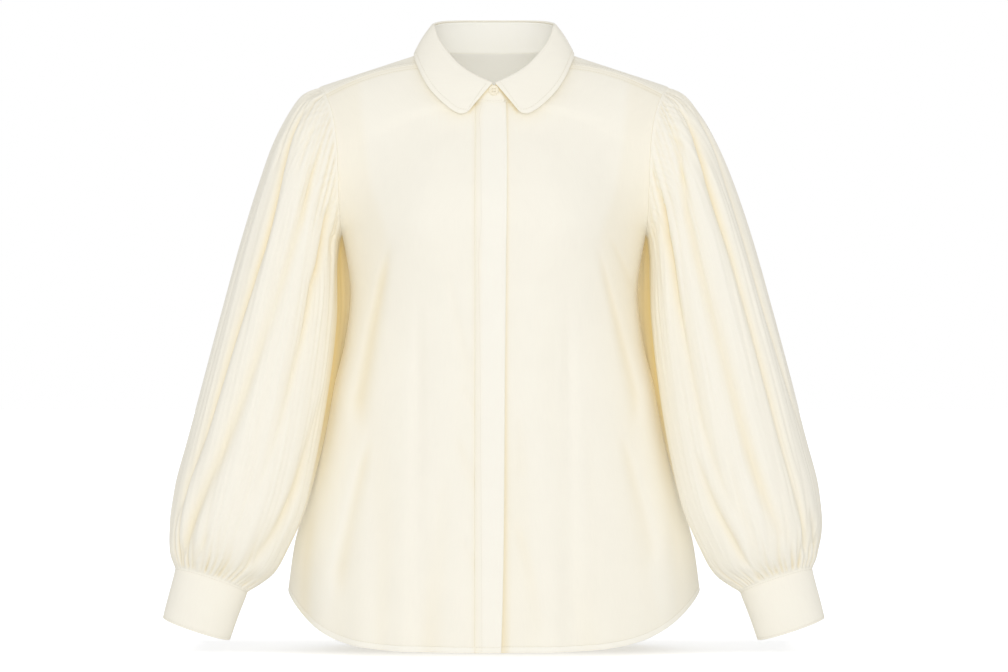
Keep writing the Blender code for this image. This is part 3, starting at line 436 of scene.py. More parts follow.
class BlouseSettings(bpy.types.PropertyGroup):
    """Sizes and colours of the blouse."""

    cloth_thickness: bpy.props.FloatProperty(
        name="Cloth thickness", description="Thickness of a single layer of cloth",
        default=0.0013, min=0.0005, max=0.003, precision=4, unit="LENGTH", subtype="DISTANCE")
    collar_thickness: bpy.props.FloatProperty(
        name="Collar thickness", description="Thickness of the interlined collar leaf",
        default=0.0015, min=0.0005, max=0.003, precision=4, unit="LENGTH", subtype="DISTANCE")
    fold_depth: bpy.props.FloatProperty(
        name="Fold depth", description="Share of the full depth that the sleeves' folds take",
        default=1.0, min=0.0, max=1.5, subtype="FACTOR")
    thread_spacing: bpy.props.FloatProperty(
        name="Thread spacing", description="Distance between threads of the crepe weave",
        default=0.0006, min=0.0002, max=0.002, precision=5, unit="LENGTH", subtype="DISTANCE")
    stitch_length: bpy.props.FloatProperty(
        name="Stitch length", description="Length of one visible topstitch",
        default=0.0023, min=0.001, max=0.005, precision=4, unit="LENGTH", subtype="DISTANCE")
    cloth_colour: bpy.props.FloatVectorProperty(
        name="Cloth colour", description="Colour of the crepe where it is fully lit",
        size=3, default=(0.90, 0.865, 0.765), min=0.0, max=1.0, subtype="COLOR")
    # Painted shade: the warm colour that the cloth is painted towards deep inside its folds.
    fold_shade_colour: bpy.props.FloatVectorProperty(
        name="Fold shade colour", description="Painted warm shade of the cloth deep inside its folds",
        size=3, default=(0.78, 0.63, 0.31), min=0.0, max=1.0, subtype="COLOR")
    thread_colour: bpy.props.FloatVectorProperty(
        name="Thread colour", description="Colour of the sewing thread",
        size=3, default=(0.90, 0.85, 0.72), min=0.0, max=1.0, subtype="COLOR")
    button_colour: bpy.props.FloatVectorProperty(
        name="Button colour", description="Colour of the buttons",
        size=3, default=(0.90, 0.83, 0.66), min=0.0, max=1.0, subtype="COLOR")
    button_radius: bpy.props.FloatProperty(
        name="Neck button radius", description="Radius of the button at the collar stand",
        default=button_radius(), min=0.003, max=0.012, precision=4,
        unit="LENGTH", subtype="DISTANCE")


# ---------------------------------------------------------------- numbers


def column(table, index):
    return np.array([row[index] for row in table], float)


def smooth(stations, values, at):
    """Monotone cubic through values at the stations, read at the given places."""
    stations = np.asarray(stations, float)
    values = np.asarray(values, float)
    at = np.clip(np.asarray(at, float), stations[0], stations[-1])
    step = np.diff(stations)
    slope = np.diff(values) / step
    tangent = np.zeros_like(values)
    same_way = slope[:-1] * slope[1:] > 0
    weight_a = 2 * step[1:] + step[:-1]
    weight_b = step[1:] + 2 * step[:-1]
    safe = np.where(same_way, slope[:-1], 1.0), np.where(same_way, slope[1:], 1.0)
    mean = (weight_a + weight_b) / (weight_a / safe[0] + weight_b / safe[1])
    tangent[1:-1] = np.where(same_way, mean, 0.0)
    tangent[0], tangent[-1] = slope[0], slope[-1]
    index = np.clip(np.searchsorted(stations, at, side="right") - 1, 0, len(step) - 1)
    t = (at - stations[index]) / step[index]
    return (
        values[index] * (1 + 2 * t) * (1 - t) ** 2
        + values[index + 1] * t**2 * (3 - 2 * t)
        + step[index] * tangent[index] * t * (1 - t) ** 2
        - step[index] * tangent[index + 1] * t**2 * (1 - t)
    )


def ease(t):
    """Smooth step from 0 to 1."""
    t = np.clip(t, 0.0, 1.0)
    return t * t * (3 - 2 * t)


def bell(distance, width):
    """1 in the middle, falling as exp(-(distance / width)**2) on both sides."""
    return np.exp(-((distance / width) ** 2))


def stack(x, y, z):
    return np.stack(np.broadcast_arrays(x, y, z), axis=-1).astype(float)


def unit(vectors):
    return vectors / np.maximum(np.linalg.norm(vectors, axis=-1, keepdims=True), 1e-9)


def mirrored(points, side):
    return points * (side, 1.0, 1.0)


def waves(seed, u, v, count, across, along, amount, closed=False):
    """Soft unevenness: a sum of cosines with seeded directions and phases.

    across and along are the ranges of their waves per unit of u and of v; round a closed
    piece the number across is whole, so that the ends meet.
    """
    random = np.random.default_rng(seed)
    total = 0.0
    for _ in range(count):
        du = random.uniform(*across)
        du = round(du) if closed else du
        dv = random.uniform(*along) * random.choice((-1, 1))
        total = total + np.cos(2 * np.pi * (du * u + dv * v + random.random()))
    return amount * total / math.sqrt(count)


# ---------------------------------------------------------------- seams


def neckline(angle):
    """Neckline: an ellipse seen from above with its height from the collar's table."""
    turn = np.radians(angle)
    folded = 180 - np.abs(np.mod(angle, 360) - 180)
    x = NECK_HALF_WIDTH * np.sin(turn)
    y = NECK_CENTRE_Y - NECK_HALF_DEPTH * np.cos(turn)
    return stack(x, y, smooth(column(COLLAR_ROWS, 0), column(COLLAR_ROWS, 1), folded))


def armhole(angle):
    """Armhole of the wearer's left: an upright ellipse that leans out at the shoulder."""
    turn = np.radians(angle)
    high = (1 + np.cos(turn)) / 2
    x = ARMHOLE_X + ARMHOLE_SHOULDER_OUT * high**5 - ARMHOLE_UNDERARM_IN * (1 - high) ** 3
    y = ARMHOLE_CENTRE_Y - ARMHOLE_HALF_DEPTH * np.sin(turn)
    z = ARMHOLE_CENTRE_Z + ARMHOLE_HALF_HEIGHT * np.cos(turn)
    return stack(x, y, z)


def tuck(x):
    """How far the wearer's left front steps back, to pass under the placket."""
    return TUCK * (1 - ease((x - COVER_EDGE) / (TUCK_END - COVER_EDGE)))


# ---------------------------------------------------------------- body


def body_rows(front):
    """Columns of the front's or the back's rows, from the hem to the yoke's seam."""
    skirt = np.array(SKIRT_ROWS)
    chest = np.array(CHEST_ROWS if front else SHOULDER_BLADE_ROWS)
    upper = np.ones(len(chest))
    centre = 2 if front else 4
    return {
        "start_z": np.concatenate([skirt[:, centre], chest[:, 1]]),
        "start_y": np.concatenate([skirt[:, centre + 1], chest[:, 2]]),
        "neck_angle": np.concatenate([0 * skirt[:, 0], chest[:, 3] if front else 0 * upper]),
        "end_x": np.concatenate([skirt[:, 1], skirt[-1, 1] * upper]),
        "end_z": np.concatenate([skirt[:, 0], skirt[-1, 0] * upper]),
        "armhole_angle": np.concatenate([180 + 0 * skirt[:, 0], chest[:, 0]]),
        "turn": np.concatenate([90 + 0 * skirt[:, 0], chest[:, -1]]),
        "corner": np.concatenate([skirt[:, 6], skirt[-1, 6] * upper]),
    }


def valleys(folds, x, z):
    """Depth of the folds: each is a bell across its line, fading in and out along it."""
    depth = np.zeros(np.broadcast(x, z).shape)
    for top_x, top_z, bottom_x, bottom_z, bow, half_width, most in folds:
        along = (z - top_z) / (bottom_z - top_z)
        inside = np.clip(along, 0, 1)
        middle = top_x + (bottom_x - top_x) * inside + bow * np.sin(np.pi * inside)
        spread = half_width * (0.6 + 0.8 * inside)
        fade = ease(along / 0.3) * ease((1.25 - along) / 0.3)
        depth += most * fade * np.exp(-(((x - middle) / spread) ** 2))
    return depth


def body_surface(front, level, across, folds=(), roundness=1.0, seed=0):
    """Points of the wearer's left half of the front or back.

    level counts rows of the table, hem first, and across runs along a row from the
    centre or neckline to the side seam or armhole. A row is the part of an ellipse that
    turns through the table's angle; the bust's dome and the folds are added to its depth.
    """
    rows = body_rows(front)
    stations = np.arange(len(rows["turn"]))
    at = {name: smooth(stations, values, level) for name, values in rows.items()}
    start = stack(0.0 * at["start_y"], at["start_y"], at["start_z"])
    start = start + neckline(at["neck_angle"]) - neckline(0.0 * at["neck_angle"])
    end = stack(at["end_x"], SIDE_SEAM_Y, at["end_z"])
    end = end + armhole(at["armhole_angle"]) - armhole(180.0)
    turn = np.radians(at["turn"])
    along = np.sin(across * turn) / np.sin(turn)
    inward = (1 - np.cos(across * turn)) / (1 - np.cos(turn))
    x = start[..., 0] + (end[..., 0] - start[..., 0]) * along
    y = start[..., 1] + (end[..., 1] - start[..., 1]) * inward
    z = start[..., 2] + (end[..., 2] - start[..., 2]) * along ** (at["corner"] * roundness)
    inner = 1 - across**8
    way = -1.0 if front else 1.0
    dome = 0.0
    if front:
        far = ((x - BUST["x"]) / BUST["width"]) ** 2 + ((z - BUST["z"]) / BUST["height"]) ** 2
        dome = BUST["depth"] * np.exp(-far)
    uneven = 0.0
    if seed:
        lower = ease((-250.0 - z) / 300.0)
        uneven = waves(seed, x / 100.0, z / 100.0, 7, (0.7, 2.2), (0.0, 0.25), 0.35 + 0.9 * lower)
        uneven = uneven * ease(across / 0.12) * ease((1 - across) / 0.12)
    y = y + way * inner * (dome - valleys(folds, x, z) + uneven)
    return stack(x, y, z)


def across_at(level, x):
    """Where the front's row at this level passes the given x, or 0 if it starts beyond."""
    rows = body_rows(True)
    stations = np.arange(len(rows["turn"]))
    turn = np.radians(smooth(stations, rows["turn"], level))
    start = neckline(smooth(stations, rows["neck_angle"], level))[..., 0]
    end = smooth(stations, rows["end_x"], level)
    end = end + armhole(smooth(stations, rows["armhole_angle"], level))[..., 0]
    end = end - armhole(180.0)[0]
    share = np.clip((x - start) / (end - start), 0, 1)
    return np.arcsin(share * np.sin(turn)) / turn


def neckline_level(x):
    """Level at which the front at this x, near the centre, reaches the neckline."""
    levels = np.linspace(NECK_ROW, NECK_ROW + 1, 200)
    rows = body_rows(True)
    angles = smooth(np.arange(len(rows["turn"])), rows["neck_angle"], levels)
    wanted = np.degrees(np.arcsin(np.abs(x) / NECK_HALF_WIDTH))
    return np.interp(wanted, angles, levels)


def edge_stray(level):
    """Sideways stray of the placket's free edge at this row."""
    return smooth(EDGE_ROWS, EDGE_STRAY, level)


def front_surface(side, u, v, plain=False):
    """A front: u runs from the hem to the yoke's seam, v from the placket to the side."""
    level = u * FRONT_TOP
    seam_x = PLACKET_SEAM if side == RIGHT else BAND_SEAM + edge_stray(level)
    first = across_at(level, seam_x)
    across = first + (1 - first) * v
    own = RIGHT_FRONT_FOLDS if side == RIGHT else LEFT_FRONT_FOLDS
    folds = SHARED_FRONT_FOLDS if plain else SHARED_FRONT_FOLDS + own
    roundness = 1.0
    if side == LEFT:
        roundness = 1 - (1 - LEFT_HEM_ROUNDNESS) * np.clip(1 - level, 0, 1)
    points = body_surface(True, level, across, folds, roundness, 0 if plain else 11 + int(side))
    if side == LEFT:
        points[..., 1] += tuck(points[..., 0])
    return points


def strip_surface(left_x, right_x, step, u, v):
    """A strip of the centre front between two x, stepped back, from hem to neckline."""
    x = left_x + (right_x - left_x) * v
    level = u * neckline_level(x)
    x = x + v * edge_stray(level)
    points = body_surface(True, level, across_at(level, np.abs(x)), SHARED_FRONT_FOLDS)
    points[..., 0] = x
    points[..., 1] += step
    return points


def back_surface(u, v, plain=False):
    """The back: u runs from the hem to the yoke's seam, v from the right side to the left."""
    share = 2 * v - 1
    folds = BACK_FOLDS[:2] if plain else BACK_FOLDS
    points = body_surface(False, u * BACK_TOP, np.abs(share), folds, 1.0, 0 if plain else 23)
    return points * stack(np.where(share < 0, -1.0, 1.0), 1.0, 1.0)


def yoke_place(v):
    """Station of the yoke's table at v, which counts in from either front seam."""
    return YOKE_LAST * (1 - np.abs(2 * v - 1))


def yoke_outer(place):
    """Outer edge of the yoke's left half: the armhole's top, then the back's seam."""
    shoulder = armhole(30.0 - 15.0 * np.clip(place, 0, YOKE_CORNER))
    across = 1 - np.clip((place - YOKE_CORNER) / (YOKE_LAST - YOKE_CORNER), 0, 1)
    behind = body_surface(False, BACK_TOP + 0.0 * across, across, BACK_FOLDS[:2])
    return np.where((place <= YOKE_CORNER)[..., None], shoulder, behind)


def yoke_surface(u, v):
    """The yoke: u runs from the neckline outwards, v from the left front seam to the right.

    Straight lines run from the neckline to a blend of the outer edge and its running
    mean; a bow is added between the edges, and the front edge takes the front's curve.
    """
    place = yoke_place(v)
    stations = np.arange(len(YOKE_NECK_ANGLES))
    inner = neckline(smooth(stations, YOKE_NECK_ANGLES, place))
    edge = yoke_outer(place)
    weights = (1, 2, 3, 4, 4, 4, 3, 2, 1)
    total = 0.0
    for shift, weight in zip(np.linspace(-2, 2, 9), weights):
        folded = np.abs(YOKE_LAST - np.abs(YOKE_LAST - np.abs(place + shift)))
        total = total + yoke_outer(folded) * weight
    mean = total / sum(weights)
    keep = ease(place / 2.5)[..., None] * (1 - u[..., None] ** 2)
    outer = edge + (mean - edge) * keep
    share = u[..., None]
    points = inner + (outer - inner) * share
    bow = 4 * u * (1 - u)
    front = ease(1 - place / 1.8)
    points[..., 2] += bow * YOKE_SHOULDER_BOW * (1 - front)
    points[..., 1] += bow * YOKE_BACK_BOW * ease((place - 3) / 8.0)
    zero = 0.0 * u
    at_neck, at_armhole = FRONT_SEAM_ANGLES
    straight = neckline(at_neck + zero)
    straight = straight + (armhole(at_armhole + zero) - straight) * share
    curve = body_surface(True, FRONT_TOP + zero, u)
    points = points + (curve - straight) * front[..., None]
    return points * stack(np.where(v <= 0.5, 1.0, -1.0), 1.0, 1.0)


# ---------------------------------------------------------------- sleeves and cuffs


def section(row, angle, side):
    """Closed section of a sleeve or cuff from the columns of the sleeve's table; 2.6 brings
    the tuck's greatest share, behind and beneath, to 1."""
    outer_x, outer_z, inner_x, inner_z, mid_y, front, back, lift, tuck_in, spread = row
    turn = np.radians(angle)
    out, ahead = np.cos(turn), np.sin(turn)
    share = (1 + out) / 2
    reach = np.where(ahead > 0, front, back)
    corner = 2.6 * np.maximum(-out, 0) * np.maximum(-ahead, 0) ** 2
    x = inner_x + (outer_x + side * spread - inner_x) * share - tuck_in * corner
    z = inner_z + (outer_z - inner_z) * share + lift * ahead
    return stack(x, mid_y - reach * ahead, z)


def sleeve_surface(side, u, v):
    """A sleeve with no folds: u runs from the armhole to the cuff, v round the section."""
    level, angle = u * SLEEVE_TOP, 360.0 * v
    stations = np.arange(len(SLEEVE_ROWS))
    row = [smooth(stations, column(SLEEVE_ROWS, n), level) for n in range(10)]
    seam = armhole(angle) - section(SLEEVE_ROWS[0], angle, side)
    return section(row, angle, side) + seam * (1 - ease(level / ARMHOLE_BLEND_ROWS))[..., None]


def cuff_surface(side, u, v):
    """A cuff: straight lines from the sleeve's last section to the open edge."""
    angle = 360.0 * v
    top = section(SLEEVE_ROWS[-1], angle, side)
    bottom = section(CUFF_BOTTOM, angle, side)
    return top + (bottom - top) * u[..., None]


def apart(angle, middle):
    """Signed difference of two angles, within half a turn."""
    return np.mod(angle - middle + 180, 360) - 180


def long_folds(side, level, angle):
    """Depth of a sleeve's long folds, each a bell whose keenness the table sets."""
    depth = 0.0
    folds = RIGHT_SLEEVE_FOLDS if side == RIGHT else LEFT_SLEEVE_FOLDS
    for levels, angles, depths, width, keen in folds:
        middle, most = smooth(levels, angles, level), smooth(levels, depths, level)
        depth = depth + most * np.exp(-np.abs(apart(angle, middle) / width) ** keen)
    ends = (0.2, 1.5, 6.0, 10.5, 11.8)
    for a, b, c, deep_a, deep_b, deep_c, width in BACK_SLEEVE_FOLDS:
        middle = smooth(ends[1:4], (a, b, c), level) + (5 if side == LEFT else 0)
        most = smooth(ends, (0, deep_a, deep_b, deep_c, 0), level)
        depth = depth + most * np.exp(-np.abs(apart(angle, middle) / width) ** 1.5)
    return depth


def gathers(seed, angle, away, count, widths, depths, lengths, drift, rise):
    """Depth of fine gathers that leave a seam: bells round the section, each with its own
    width, depth and length; away is the distance from the seam along the sleeve. They lean
    by the drift and deepen over the rise."""
    random = np.random.default_rng(seed)
    total = 0.0
    for number in range(count):
        start = 360.0 * (number + random.uniform(-0.3, 0.3)) / count
        width, deep = random.uniform(*widths), random.uniform(*depths)
        length = random.uniform(*lengths) * (1.6 if random.random() < 0.2 else 1.0)
        middle = start + drift * math.sin(math.radians(start)) * (1 - np.exp(-away / 42.0))
        middle = middle + random.uniform(-4, 4) * (away / length) ** 2
        wider = width * (1 + 0.7 * away / length)
        ridge = np.exp(-np.abs(apart(angle, middle) / wider) ** 1.6)
        total = total + deep * ridge * ease(away / rise) * (1 - ease(away / length))
    return total


def fan_angle(side, level, angle):
    """Angle round a sleeve's top that its gathers keep to: they fall from the armhole in
    straight lines that spread between an inner line, which leans in above the underarm,
    and the sleeve's outer line."""
    folded = 0.5 - np.abs(angle / 360.0 - 0.5)
    front = sleeve_surface(side, level / SLEEVE_TOP, folded)
    x, z = front[..., 0], front[..., 2]
    outer_x = column(SLEEVE_ROWS, 0) + side * column(SLEEVE_ROWS, 9)
    outer = smooth(-column(SLEEVE_ROWS, 1), outer_x, -z)
    inner = smooth(-column(SLEEVE_ROWS, 3), column(SLEEVE_ROWS, 2), -z)
    inner = inner - FAN_LEAN * np.maximum(z - SLEEVE_ROWS[0][3], 0)
    share = np.clip((x - inner) / (outer - inner), 0, 1)
    round_top = 360.0 * folded
    fan = np.degrees(np.arccos(2 * share - 1))
    fan = round_top + (fan - round_top) * ease((round_top - 8.0) / 30.0)
    return np.where(angle <= 180, fan, 360 - fan)


def gathered_depth(side, level, angle, from_top, from_cuff):
    """The folds of a sleeve in two parts: the long ones with soft waves, and the gathers
    at both seams with the fine creasing that runs on from them."""
    seed = 40 if side == RIGHT else 50
    long = long_folds(side, level, angle) * ease(from_top / 30.0) * ease(from_cuff / 22.0)
    middle = ease(from_top / 60.0) * ease(from_cuff / 60.0)
    place = (angle / 360.0, level / SLEEVE_TOP)
    soft = (waves(seed + 2, *place, 9, (9, 24), (0.0, 2.2), 0.55, True) + 0.8) * middle
    fan = fan_angle(side, level, angle)
    fine = gathers(seed, fan, from_top, *TOP_GATHERS)
    fine = fine + gathers(seed + 1, angle, from_cuff, *CUFF_GATHERS)
    crinkle = waves(seed + 3, *place, 16, (34, 80), (0.0, 4.0), 0.28, True)
    return long + soft, fine + crinkle * ease(from_top / 12.0) * ease(from_cuff / 12.0)


def swell(level, angle):
    """Rise of the small dome: a bell round the section and along the sleeve."""
    high, middle, width, row, length = SWELL
    return high * np.exp(-((apart(angle, middle) / width) ** 2) - ((level - row) / length) ** 2)


def facing_body(level, angle):
    """Mask of a sleeve's painted shade: 1 on the side that faces the body, fading round it and at
    both ends.
    """
    middle, width = HIDDEN_SIDE
    ends = ease((level - 0.4) / 1.5) * ease((9.2 - level) / 2.5)
    return bell(apart(angle, middle), width) * ends


# ---------------------------------------------------------------- collar


def collar_height(index, angle):
    """A height or an edge coordinate of the collar's table at an angle round the neck."""
    folded = 180 - np.abs(np.mod(angle, 360) - 180)
    return smooth(column(COLLAR_ROWS, 0), column(COLLAR_ROWS, index), folded)


def fold_line(angle):
    """Outer face of the stand's top edge, just under the collar's roll: an ellipse."""
    turn = np.radians(angle)
    x = FOLD_HALF_WIDTH * np.sin(turn)
    y = FOLD_CENTRE_Y - FOLD_HALF_DEPTH * np.cos(turn)
    return stack(x, y, collar_height(2, angle) - ROLL_HEIGHT)


def neck_outward(angle):
    """Level unit vectors that point away from the neck, square to the fold's ellipse."""
    turn = np.radians(angle)
    x = np.sin(turn) / FOLD_HALF_WIDTH
    y = -np.cos(turn) / FOLD_HALF_DEPTH
    return unit(stack(x, y, 0.0 * turn))


def stand_surface(u, v):
    """The stand: u rises from the neckline to its top edge, v runs from the buttoned end,
    round by the wearer's right, to the end beneath. Its ends are cut down in curves."""
    first = math.degrees(math.asin(TAB_EDGE / NECK_HALF_WIDTH))
    last = -360.0 - math.degrees(math.asin(BAND_EDGE / NECK_HALF_WIDTH))
    angle = first + (last - first) * v
    bottom = neckline(angle)
    x = np.abs(bottom[..., 0])
    tab, under = np.array(STAND_TAB), np.array(UNDER_TAB)
    height = np.where(angle > 0, smooth(tab[:, 0], tab[:, 1], x), 1.0)
    height = np.where(angle < -360, smooth(under[:, 0], under[:, 1], x), height)
    top = bottom + (fold_line(angle) - bottom) * height[..., None]
    points = bottom + (top - bottom) * u[..., None]
    under_x = np.where(angle < -360, 0.0, points[..., 0])
    points[..., 1] += np.where(angle < -270, tuck(under_x), 0.0)
    return points


def leaf_frame(angle):
    """Points down the leaf's profile at each angle: the roll's and then the outer edge."""
    fold, outward = fold_line(angle), neck_outward(angle)
    upward = np.array([0.0, 0.0, 1.0])
    side = np.where(angle > 180, -1.0, 1.0)
    edge = stack(side * collar_height(3, angle), collar_height(4, angle), collar_height(5, angle))
    hidden = np.where(angle < 90, tuck(fold[..., 0]), 0.0)[..., None]
    roll = [fold + outward * (out - hidden * (out < 0)) + upward * up for out, up in ROLL_PROFILE]
    return roll, edge, outward


def leaf_surface(u, v):
    """The leaf: u runs from the stand's top edge over the roll and down to its own edge,
    v round the neck from the wearer's left corner to the right one.

    The roll is a curve through its profile's points; the fall is a straight line with a
    bulge of 4t(1-t), cut short in a quarter circle at each corner.
    """
    angle = LEAF_END_ANGLE + (360 - 2 * LEAF_END_ANGLE) * v
    roll, edge, outward = leaf_frame(angle)
    start = roll[-1]
    ends = leaf_frame(np.array([LEAF_END_ANGLE, 360 - LEAF_END_ANGLE]))[1]
    from_front = np.minimum(*(np.linalg.norm(edge - end, axis=-1) for end in ends))
    into = np.clip(1 - from_front / LEAF_CORNER, 0, 1)
    cut = LEAF_CORNER * (1 - np.sqrt(1 - into**2))
    reach = (1 - cut / np.linalg.norm(edge - start, axis=-1))[..., None]
    forward = unit(stack(-outward[..., 1], outward[..., 0], 0.0 * angle))
    square = unit(np.cross(edge - start, forward))
    square = square * np.sign((square * outward).sum(axis=-1, keepdims=True))
    rolled = np.clip(u / ROLL_SHARE, 0, 1) * 3
    lobes = [np.clip(1 - np.abs(rolled - n), 0, 1) for n in range(4)]
    at_roll = sum(point * lobe[..., None] for point, lobe in zip(roll, lobes))
    part = np.clip((u - ROLL_SHARE) / (1 - ROLL_SHARE), 0, 1)[..., None] * reach
    fall = (edge - start) * part + square * LEAF_BULGE * 4 * part * (1 - part)
    return at_roll + fall


# ---------------------------------------------------------------- grids


def edge_steps(lines=()):
    """Distances from an edge that get a row: close ones on the rounded rim and five across
    each line of stitches."""
    near = [0.0, 0.1, 0.3, 0.65]
    for line in lines:
        near += [line - 0.9, line - 0.4, line, line + 0.4, line + 0.9]
    return np.array(near)


def spaced(total, first, last, count):
    """Distances of the rows: those of the first edge, even ones, and the last edge's."""
    total = np.atleast_1d(total)[None]
    start = first[:, None] + 0.0 * total
    end = total - last[::-1][:, None]
    share = np.linspace(0, 1, count + 2)[1:-1][:, None]
    return np.concatenate([start, start[-1:] + (end[:1] - start[-1:]) * share, end])


def run_lengths(points, axis):
    """Distance along the rows or columns of a grid from its first one."""
    step = np.linalg.norm(np.diff(points, axis=axis), axis=-1)
    start = np.zeros_like(np.take(step, [0], axis=axis))
    return np.concatenate([start, np.cumsum(step, axis=axis)], axis=axis)


def laid_out(surface, rows, columns, fine=(260, 300)):
    """Grid of (u, v) whose rows and columns keep true distances from the edges.

    rows and columns are (steps of the first edge, steps of the last edge, even count).
    The columns are placed first, by length along each row, then the rows along each.
    """
    u = np.linspace(0, 1, fine[0])
    v = np.linspace(0, 1, fine[1])
    across = run_lengths(surface(*np.meshgrid(u, v, indexing="ij")), 1)
    wanted = spaced(across[:, -1], *columns)
    v_fine = np.stack([np.interp(want, along, v) for want, along in zip(wanted.T, across)])
    u_fine = u[:, None] + 0.0 * v_fine
    down = run_lengths(surface(u_fine, v_fine), 0)
    wanted = spaced(down[-1], *rows)
    u_grid = np.stack([np.interp(w, d, u) for w, d in zip(wanted.T, down.T)], axis=1)
    v_grid = np.stack([np.interp(w, d, x) for w, d, x in zip(wanted.T, down.T, v_fine.T)], axis=1)
    return u_grid, v_grid


def ring_laid_out(surface, rows, columns, fine=260):
    """The same for a tube, whose columns are spaced evenly round it."""
    u = np.linspace(0, 1, fine)
    v = np.arange(columns) / columns
    down = run_lengths(surface(*np.meshgrid(u, v, indexing="ij")), 0)
    wanted = spaced(down[-1], *rows)
    u_grid = np.stack([np.interp(w, d, u) for w, d in zip(wanted.T, down.T)], axis=1)
    return u_grid, v[None] + 0.0 * u_grid


def grid_ways(points, closed, inside):
    """Unit normals of a grid, turned away from a point inside the garment."""
    if closed:
        wrapped = np.concatenate([points[:, -1:], points, points[:, :1]], axis=1)
        across = np.gradient(wrapped, axis=1)[:, 1:-1]
    else:
        across = np.gradient(points, axis=1)
    ways = unit(np.cross(across, np.gradient(points, axis=0)))
    return ways if ((points - inside) * ways).sum() > 0 else -ways


def from_edges(points, closed):
    """Distances of each grid point from the first row, last row, first and last column."""
    down = run_lengths(points, 0)
    edges = [down, down[-1:] - down]
    if not closed:
        along = run_lengths(points, 1)
        edges += [along, along[:, -1:] - along]
    return edges


# ---------------------------------------------------------------- meshes


def quads(rows, columns, closed):
    """Corner indices of the faces between neighbouring rows and columns."""
    row = np.arange(rows - 1)[:, None]
    col = np.arange(columns if closed else columns - 1)[None]
    after = (col + 1) % columns
    low, high = row * columns, (row + 1) * columns
    corners = (low + col, low + after, high + after, high + col)
    return np.stack(np.broadcast_arrays(*corners), axis=-1).reshape(-1, 4)


def new_piece(name, points, faces, material):
    """Smooth object from points in millimetres and lists of the corners of its faces."""
    mesh = bpy.data.meshes.new(name)
    mesh.from_pydata((points.reshape(-1, 3) * MM).tolist(), [], faces)
    mesh.shade_smooth()
    mesh.materials.append(material)
    piece = bpy.data.objects.new(name, mesh)
    bpy.context.collection.objects.link(piece)
    return piece


def corner_map(points, closed):
    """Lengths along the rows and columns, one column more than the grid where it closes."""
    if closed:
        points = np.concatenate([points, points[:, :1]], axis=1)
    across, down = run_lengths(points, 1), run_lengths(points, 0)
    middle = across[:, across.shape[1] // 2][:, None]
    return np.stack([across - middle, down], axis=-1)


def cloth_piece(name, base, ways, depth, thickness, material,
                closed=False, shade=0.0, inside=None, every=1):
    """Thin shell of cloth over a grid, with a cloth map in metres and a fold value, its painted
    shade.

    The outer face is the base pressed in by depth along its ways; the inner one is set
    back by the thickness. Both turn in on a quarter circle at the rims, where they share
    their points. inside is the fold value of the inner face, painted shade or painted light,
    and every keeps each n-th row of it in a tube.
    """
    rows, columns = base.shape[:2]
    radius = thickness / 2
    edges = [np.broadcast_to(edge, (rows, columns)) for edge in from_edges(base, closed)]
    rim = np.minimum.reduce(edges)
    turned = radius - np.sqrt(np.maximum(radius**2 - (radius - np.minimum(rim, radius)) ** 2, 0))
    outer = base - ways * (depth + turned)[..., None]
    inner = base - ways * (depth + thickness - turned)[..., None]
    ends = 5 if every > 1 else 1
    kept = np.array([r for r in range(rows) if r < ends or r >= rows - ends or r % every == 0])
    total = rows * columns
    inner_index = total + np.arange(len(kept) * columns).reshape(len(kept), columns)
    inner_index[0], inner_index[-1] = np.arange(columns), np.arange(total - columns, total)
    if not closed:
        for edge in (0, -1):
            inner_index[:, edge] = kept * columns + (columns + edge) % columns
    outer_faces = quads(rows, columns, closed)
    inner_faces = inner_index.reshape(-1)[quads(len(kept), columns, closed)][:, ::-1]
    a, b, c = (outer.reshape(-1, 3)[outer_faces[:, n]] for n in (0, 1, 2))
    facing = (np.cross(b - a, c - b) * ways.reshape(-1, 3)[outer_faces[:, 0]]).sum()
    faces = np.concatenate([outer_faces, inner_faces])
    maps = corner_map(base, closed)
    wide = maps.shape[1]
    flat = quads(rows, wide, False)
    inner_map = quads(len(kept), wide, False)[:, ::-1]
    uv = np.concatenate([maps.reshape(-1, 2)[flat], maps[kept].reshape(-1, 2)[inner_map]])
    if facing < 0:
        faces, uv = faces[:, ::-1], uv[:, ::-1]
    points = np.concatenate([outer.reshape(-1, 3), inner[kept].reshape(-1, 3)])
    shade = np.broadcast_to(shade, (rows, columns))
    inner_tones = INNER_SHADE_SHARE * shade if inside is None else np.full((rows, columns), inside)
    tones = np.concatenate([shade.reshape(-1), inner_tones[kept].reshape(-1)])
    used, faces = np.unique(faces, return_inverse=True)
    piece = new_piece(name, points[used], faces.reshape(-1, 4).tolist(), material)
    layer = piece.data.uv_layers.new(name="cloth")
    layer.data.foreach_set("uv", (uv * MM).astype(np.float32).ravel())
    layer = piece.data.attributes.new("shade", "FLOAT", "POINT")
    layer.data.foreach_set("value", tones[used].astype(np.float32).ravel())
    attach(piece, "root")
    return piece


def line_on(base, ways, rows, columns):
    """Path of a line of stitches: the grid's points there, just clear of the cloth, and
    the ways out of it."""
    out = ways[rows, columns]
    return base[rows, columns] + out * THREAD_LIFT, out


